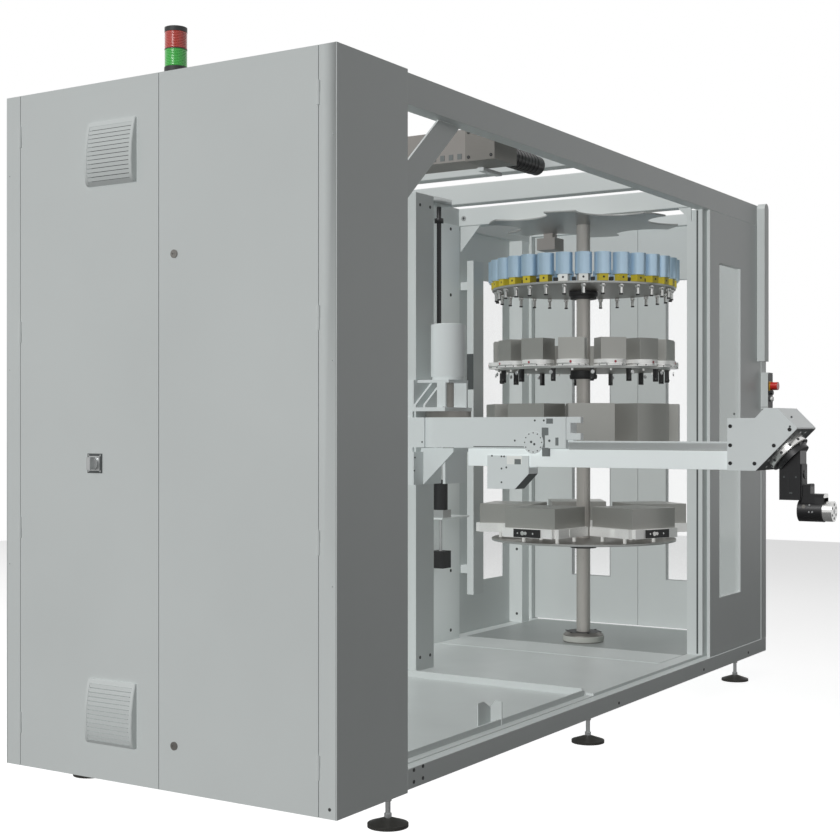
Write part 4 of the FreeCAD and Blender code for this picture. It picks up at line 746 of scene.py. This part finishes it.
def carriage_screws():
    """The swivel motor's collar, the carriage's screws and the rib on its stand."""
    lift = Shape()
    lift.rod((-100, ROBOT_Y, 1640.5), Z, 60, 4, "RobotPaint", 2, 48)
    for x, z in ((-160, 1150), (-195, 1085), (-198, 1030)):
        lift.screw((x, -1201, z), -Y, 4, "DarkGreyAndPaintedShade", 0.6)
    for x in (-190, -60):
        lift.screw((x, -1190, 1294), Z, 6, "SatinSteel", 3)
    for x in (-125, -75):
        lift.screw((x, -1011, 1300), -Y, 5, "SatinSteel", 2)
    lift.box((-106, -1172, 1294), (-64, -1160, 1397), "RobotPaint", 1)
    lift.piece("carriage_screws", "carriage")


def arm_cover(arm):
    """The round cover on the arm's face, with its ring of twelve screws."""
    centre = Vector((361, ARM_FACE - 3, 1151))
    arm.rod(centre + 3.3 * Y, -Y, 45, 3.3, "RobotPaint", 1, 48)
    for angle in ring(12):
        spot = centre + 38 * Vector((math.cos(angle), 0, math.sin(angle)))
        arm.rod(spot, -Y, 2.6, 0.6, "BlackPlastic", 0.1, 10)
    for x, z in ((352, 1153), (366, 1144)):
        arm.rod((x, centre.y, z), -Y, 5, 0.6, "DarkGreyAndPaintedShade", 0.1, 14)


def arm_details():
    """The arm's end plate, dark plates painted as the shade in its notches and slot, round cover, label and
    screws.
    """
    arm = Shape()
    face = ARM_FACE
    arm.box((421, face - 2.5, 1131), (503.5, face + 0.5, 1250), "RobotPaint", 1.2)
    arm.box((86, face - 0.6, 1131), (340, face + 0.3, 1134.5), "DarkGreyAndPaintedShade")
    # Painted shade: dark plates on the arm's face where the end plate has notches and a slot
    for low, high, rise in (((419, 1225), (449, 1246), 2.9), ((399, 1179), (429, 1210), 2.9),
                            ((399, 1131), (412, 1179), 0.6), ((459, 1139), (473, 1171), 2.9)):
        arm.box((low[0], face - rise, low[1]), (high[0], face + 0.3, high[1]), "RobotShade", 0.4)
    arm.box((399, face - 0.6, 1096), (429, -1187, 1131), "RobotShade", 0.8)
    arm_cover(arm)
    for x, z in ((367, 1238), (407, 1238), (277, 1158)):
        arm.screw((x, face, z), -Y, 4.2, "DarkGreyAndPaintedShade", 0.8)
    arm.screw((433, face - 2.5, 1158), -Y, 5, "DarkGreyAndPaintedShade", 0.8)
    label_low, label_high = 1063, 1096
    arm.box((239, -1197.5, label_low), (306, -1195.6, label_high), "HolderWhite", 1)
    arm.box((274, -1198, label_low), (303, -1197, 1084), "RobotShade", 0.3)
    for x, z in ((170, 1096), (214, 1094), (226, 1094), (214, 1045), (214, 990), (236, 1050)):
        arm.screw((x, -1196, z), -Y, 4, "DarkGreyAndPaintedShade", 0.6)
    arm.piece("arm_details", "arm")


def beam_details():
    """The screws of the beam's rail, its bright strip, and the screws of the head."""
    beam = Shape()
    rail_screws, pitch = 11, 55
    for k in range(rail_screws):
        beam.screw((560 + pitch * k, -1157, 1158), Z, 5, "DarkSteel", 0.8)
    beam.box((510, -1186.5, 1124), (1163, -1184, 1126.5), "BrightSteel", 0.5)
    for angle in ring(10, 0.5):
        beam.screw(WRIST_CENTRE + round_wrist(angle) * 94 - WRIST_AXIS, WRIST_AXIS, 5, "SatinSteel", 2.5)
    for x, z in ((1398, 1214), (1404, 1248), (1190, 1260)):
        beam.screw((x, -1201, z), -Y, 4, "DarkGreyAndPaintedShade", 0.6)
    for y in (-1172, -1010):
        for x, z in ((1330, 1112), (1390, 1172)):
            beam.screw((x, y, z), WRIST_AXIS, 5, "BlackPlastic", 1.5)
    beam.piece("beam_details", "beam")


def wrist_flange(wrist):
    """The wrist flange's two rings of screws and its dark rim."""
    face = WRIST_CENTRE + WRIST_AXIS * WRIST_FLANGE
    for angle in ring(12):
        way = round_wrist(angle)
        wrist.screw(WRIST_CENTRE + WRIST_AXIS * WRIST_FLANGE / 2 + way * 79.6, way, 5.5, "BlackPlastic", 1.6)
        wrist.turned(face + way * 70, WRIST_AXIS, ((3.5, 0), (3.5, 1.4)), "BlackPlastic", 10)
    wrist.turned(face, WRIST_AXIS, ((80, -3), (81, -1.5), (80, 0)), "DarkSteel", 72)


def gripper_details(wrist):
    """The gripper's connectors, plates and screws, and the plugs and rims round its clamping face."""
    y, clamp = ROBOT_Y, 907
    wrist.box((1412, y - 32, 956), (1417, y + 32, 1078), "BlackPlastic", 2)
    for z in (980, 1040):
        wrist.rod((1416, y, z), X, 16, 4, "BlackAnodised", 1.5, 40)
        wrist.turned((1420, y, z), X, ((11, -1), (11, 0.4)), "DarkGreyAndPaintedShade", 24)
    wrist.box((1366, y - 38, 968), (1369, y - 36.6, 1046), "BlackPlastic", 0.3)
    wrist.box((1334.5, y - 37.6, 958), (1339, y + 37.6, 1006), "BlackPlastic", 0.5)
    for x, z in ((1374, 972), (1380, 972), (1352, 1030), (1396, 1030)):
        wrist.screw((x, y - 37, z), -Y, 3.5, "DarkGreyAndPaintedShade", 0.6)
    wrist.box((1432, y - 24, 994), (1446, y + 24, 1006), "BlackPlastic", 1.5)
    wrist.box((1462, y - 28, 930), (1496, y + 28, 958), "BlackPlastic", 2)
    wrist.rod((1424, y - 36, 924), -Y, 7, 1.5, "DarkSteel", 0.4)
    for x, z in ((1444, 905), (1456, 905), (1446, 930)):
        wrist.screw((x, y - 38.6, z), -Y, 3, "SatinSteel", 0.8)
    wrist.turned((1488, y, clamp), X, ((39.6, -2), (39.6, 2)), "BlackPlastic", 48)
    for angle in ring(6, 0.5):
        spot = Vector((1525, y + 25 * math.cos(angle), clamp + 25 * math.sin(angle)))
        wrist.turned(spot, X, ((5, -2), (5, 0.4)), "BlackPlastic", 14)
    wrist.turned((1524.4, y, clamp), X, ((34, -1), (34, 0.5)), "SatinSteel", 48)


def wrist_details():
    """Everything small that turns with the wrist."""
    wrist = Shape()
    wrist_flange(wrist)
    gripper_details(wrist)
    wrist.piece("wrist_details", "wrist")


class CELL_OT_robot(bpy.types.Operator):
    """Make the details of the column, the carriage, the arm, the head and the gripper"""

    bl_idname = "cell.robot"
    bl_label = "Robot Details"

    def execute(self, context):
        column_screws()
        carriage_screws()
        arm_details()
        beam_details()
        wrist_details()
        return {"FINISHED"}


def tool_level_details():
    """Plugs, feet and collars of the tool holders, the blanks' rims, and the blocks between the seats."""
    level = Shape()
    cap = ((9, 0), (12, 5), (12, 14), (10, 16))
    for angle in seats(TOOL_START, TOOL_COUNT):
        level.rod(polar(angle, 440, 1889), polar(angle, 1), 5, 1.5, "BlackPlastic", 0.3, 14)
        level.rod(polar(angle, TOOL_CIRCLE, 1812), Z, 8.6, 7, "BlackPlastic", 1, 14)
        level.turned(polar(angle, TOOL_CIRCLE, 1846), Z, cap, "BrightSteel", 18)
        level.turned(polar(angle, TOOL_CIRCLE, 2000), Z, ((34, 1), (33, 2.6)), "BlankAlloy", 32)
        between = angle + 180 / TOOL_COUNT
        turn = Matrix.Translation(polar(between, 405)) @ Matrix.Rotation(math.radians(between), 4, "Z")
        level.box((-9, -9, 1876), (9, 9, 1892), "BlackPlastic", 1, turn)
    level.turned((0, 0, 1856), Z, ((66, -18), (70, -12), (70, 0), (63, 6)), "BlackPlastic", 48)
    level.piece("tool_level_details", "magazine")


def round_level_details():
    """Bright rims, red dots and plugs of the round pallets, and the black knobs between them."""
    level = Shape()
    rim = ((73, 6), (74.8, 8), (74.8, 12), (73, 14))
    knob = ((4, -2), (9, 2), (11, 8), (9, 14), (5, 18))
    for angle in seats(ROUND_START, ROUND_COUNT):
        centre = polar(angle, ROUND_CIRCLE)
        level.turned(centre + Vector((0, 0, 1490)), Z, rim, "BrightSteel", 48)
        level.rod(polar(angle, 453, 1508), polar(angle, 1), 5.5, 1.8, "RubyDot", 0.5, 16)
        for turn in (-30, 30, 60, -60):
            out = polar(angle + turn, 1)
            level.rod(centre + out * 73.4 + Vector((0, 0, 1495)), out, 3, 1.4, "BlackPlastic", 0.3, 10)
        between = angle + 180 / ROUND_COUNT
        level.turned(polar(between, 398, 1424), Z, knob, "BlackPlastic", 20)
        level.rod(polar(between, 424, 1462), polar(between, 1), 9, 5, "SatinSteel", 1, 18)
        level.rod(polar(angle, 394, 1470), Z, 5, 12, "HolderWhite", 1, 14)
    level.turned((0, 0, 1450), Z, ((64, -6), (66, 0), (66, 12)), "BlackPlastic", 48)
    level.piece("round_level_details", "magazine")


def pallet_level_details():
    """Plugs and white blocks of the square pallets, and thin dark plates painted as the shade of the large
    ones' slots.
    """
    level = Shape()
    for angle in seats(SQUARE_START, SQUARE_COUNT):
        turn = Matrix.Rotation(math.radians(angle), 4, "Z")
        for across, radius in ((-48, 4), (-22, 10), (-6, 8), (34, 4.5)):
            spot = turn @ Vector((505, across, 731))
            level.rod(spot, polar(angle, 1), radius, 1.6, "BrightSteel", 0.5, 20)
        for y in (-146, 146):
            level.box((355, y - 8, 714), (383, y + 8, 748), "HolderWhite", 1.5, turn)
    level.turned((0, 0, 660), Z, ((64, -8), (67, 0), (67, 8)), "BlackPlastic", 48)
    for angle in seats(LARGE_START, LARGE_COUNT):
        turn = Matrix.Rotation(math.radians(angle), 4, "Z")
        # Painted shade: thin dark plates on the large pallets where their slots are
        for across in (-70, 0, 70):
            level.box((450.5, across - 14, 1116), (452, across + 14, 1132), "DarkGreyAndPaintedShade", 0.5, turn)
    level.piece("pallet_level_details", "magazine")


class CELL_OT_magazine(bpy.types.Operator):
    """Make the small parts on the magazine's four levels"""

    bl_idname = "cell.magazine"
    bl_label = "Magazine Details"

    def execute(self, context):
        tool_level_details()
        round_level_details()
        pallet_level_details()
        return {"FINISHED"}


def stage_camera(scene):
    """The camera that was solved from the photograph's edges."""
    lens = bpy.data.cameras.new("Camera")
    lens.lens, lens.sensor_width, lens.shift_y = 62.40, 36.0, 0.0087
    lens.clip_end = 100
    camera = bpy.data.objects.new("Camera", lens)
    camera.location = (3.057, -6.330, 1.211)
    camera.rotation_euler = (math.radians(90), 0, math.radians(32.18))
    scene.collection.objects.link(camera)
    scene.camera = camera


def stage_lamps(scene, light):
    """Four suns and the soft lamp inside; only the first two suns show in reflections."""
    for name, aim, strength, angle, shadow in (
        ("Key", (0.22, 0.78, -0.50), light.key, 12, True),
        ("Fill", (0.0, 0.76, -0.64), light.fill, 30, False),
        ("Back", (0, -1, 0), light.back, 4, False),
        ("Side", (1, 0, 0), light.back * 0.6, 4, False),
    ):
        lamp = bpy.data.lights.new(name, "SUN")
        lamp.energy, lamp.angle = strength, math.radians(angle)
        lamp.use_shadow = shadow
        sun = bpy.data.objects.new(name, lamp)
        sun.rotation_euler = Vector(aim).to_track_quat("-Z", "Y").to_euler()
        sun.visible_glossy = name in ("Key", "Fill")
        scene.collection.objects.link(sun)
    lamp = bpy.data.lights.new("InsideLamp", "AREA")
    lamp.shape, lamp.size, lamp.size_y, lamp.energy = "RECTANGLE", 2.0, 2.0, light.inside
    glow = bpy.data.objects.new("InsideLamp", lamp)
    glow.location = (-0.43, -1.25, 1.2)
    glow.rotation_euler = (0, math.radians(90), 0)
    glow.visible_camera = glow.visible_glossy = False
    scene.collection.objects.link(glow)


def stage_world(scene, light):
    """A white world, faint as a light and bright where it is seen, through a pane too, or mirrored."""
    world = bpy.data.worlds.new("Studio")
    world.use_nodes = True
    scene.world = world
    nodes, links = world.node_tree.nodes, world.node_tree.links
    ray = nodes.new("ShaderNodeLightPath")
    seen = nodes.new("ShaderNodeMath")
    clear = nodes.new("ShaderNodeMath")
    seen.operation = clear.operation = "MAXIMUM"
    strength = nodes.new("ShaderNodeMapRange")
    strength.inputs["To Min"].default_value = light.sky
    links.new(ray.outputs["Is Camera Ray"], seen.inputs[0])
    links.new(ray.outputs["Is Transmission Ray"], seen.inputs[1])
    links.new(seen.outputs[0], clear.inputs[0])
    links.new(ray.outputs["Is Glossy Ray"], clear.inputs[1])
    links.new(clear.outputs[0], strength.inputs["Value"])
    links.new(strength.outputs["Result"], nodes["Background"].inputs["Strength"])
    nodes["Background"].inputs["Color"].default_value = (1, 1, 1, 1)


def studio_white():
    """White to the camera, and grey to the light that bounces off it."""
    pale = bpy.data.materials.new("StudioWhite")
    pale.use_nodes = True
    nodes, links = pale.node_tree.nodes, pale.node_tree.links
    nodes.remove(nodes["Principled BSDF"])
    ray = nodes.new("ShaderNodeLightPath")
    bounce = nodes.new("ShaderNodeBsdfDiffuse")
    bounce.inputs["Color"].default_value = (0.30, 0.30, 0.30, 1)
    bright = nodes.new("ShaderNodeBsdfDiffuse")
    bright.inputs["Color"].default_value = (1, 1, 1, 1)
    glow = nodes.new("ShaderNodeEmission")
    glow.inputs["Strength"].default_value = 0.45
    both = nodes.new("ShaderNodeAddShader")
    mix = nodes.new("ShaderNodeMixShader")
    links.new(bright.outputs[0], both.inputs[0])
    links.new(glow.outputs[0], both.inputs[1])
    links.new(ray.outputs["Is Camera Ray"], mix.inputs[0])
    links.new(bounce.outputs[0], mix.inputs[1])
    links.new(both.outputs[0], mix.inputs[2])
    links.new(mix.outputs[0], nodes["Material Output"].inputs["Surface"])


def stage_floor(scene):
    """The studio's floor, which belongs to the stage and not to the cell."""
    studio_white()
    ground = Shape()
    reach = 9000
    ground.box((-reach, -reach, -20), (reach, reach, -0.5), "StudioWhite")
    floor = bpy.data.objects.new("StudioFloor", ground.data("StudioFloor"))
    scene.collection.objects.link(floor)


class CELL_OT_stage(bpy.types.Operator):
    """Set up the camera, the floor and the light"""

    bl_idname = "cell.stage"
    bl_label = "Stage"

    def execute(self, context):
        scene = context.scene
        scene.view_settings.view_transform = "Standard"
        stage_camera(scene)
        stage_lamps(scene, scene.cell_light)
        stage_world(scene, scene.cell_light)
        stage_floor(scene)
        return {"FINISHED"}


class CELL_PT_panel(bpy.types.Panel):
    """Lists the settings and the steps that dress the cell"""

    bl_idname = "CELL_PT_panel"
    bl_label = "Palletizing Robot Cell"
    bl_space_type = "VIEW_3D"
    bl_region_type = "UI"
    bl_category = "Robot Cell"

    def draw(self, context):
        for group in (context.scene.cell_colours, context.scene.cell_sizes, context.scene.cell_light):
            for name in group.__annotations__:
                self.layout.prop(group, name)
        for step in STEPS:
            self.layout.operator(step.bl_idname)


STEPS = (CELL_OT_finishes, CELL_OT_dress, CELL_OT_two_tone, CELL_OT_cabinet, CELL_OT_frame,
         CELL_OT_operator_box, CELL_OT_robot, CELL_OT_magazine, CELL_OT_stage)
GROUPS = {"cell_colours": CellColours, "cell_sizes": CellSizes, "cell_light": CellLight}


def register():
    for kind in (*GROUPS.values(), *STEPS, CELL_PT_panel):
        bpy.utils.register_class(kind)
    for name, group in GROUPS.items():
        setattr(bpy.types.Scene, name, bpy.props.PointerProperty(type=group))


def unregister():
    for name in GROUPS:
        delattr(bpy.types.Scene, name)
    for kind in reversed((*GROUPS.values(), *STEPS, CELL_PT_panel)):
        bpy.utils.unregister_class(kind)


def main():
    register()
    for step in STEPS:
        family, name = step.bl_idname.split(".")
        getattr(getattr(bpy.ops, family), name)()


if __name__ == "__main__":
    main()
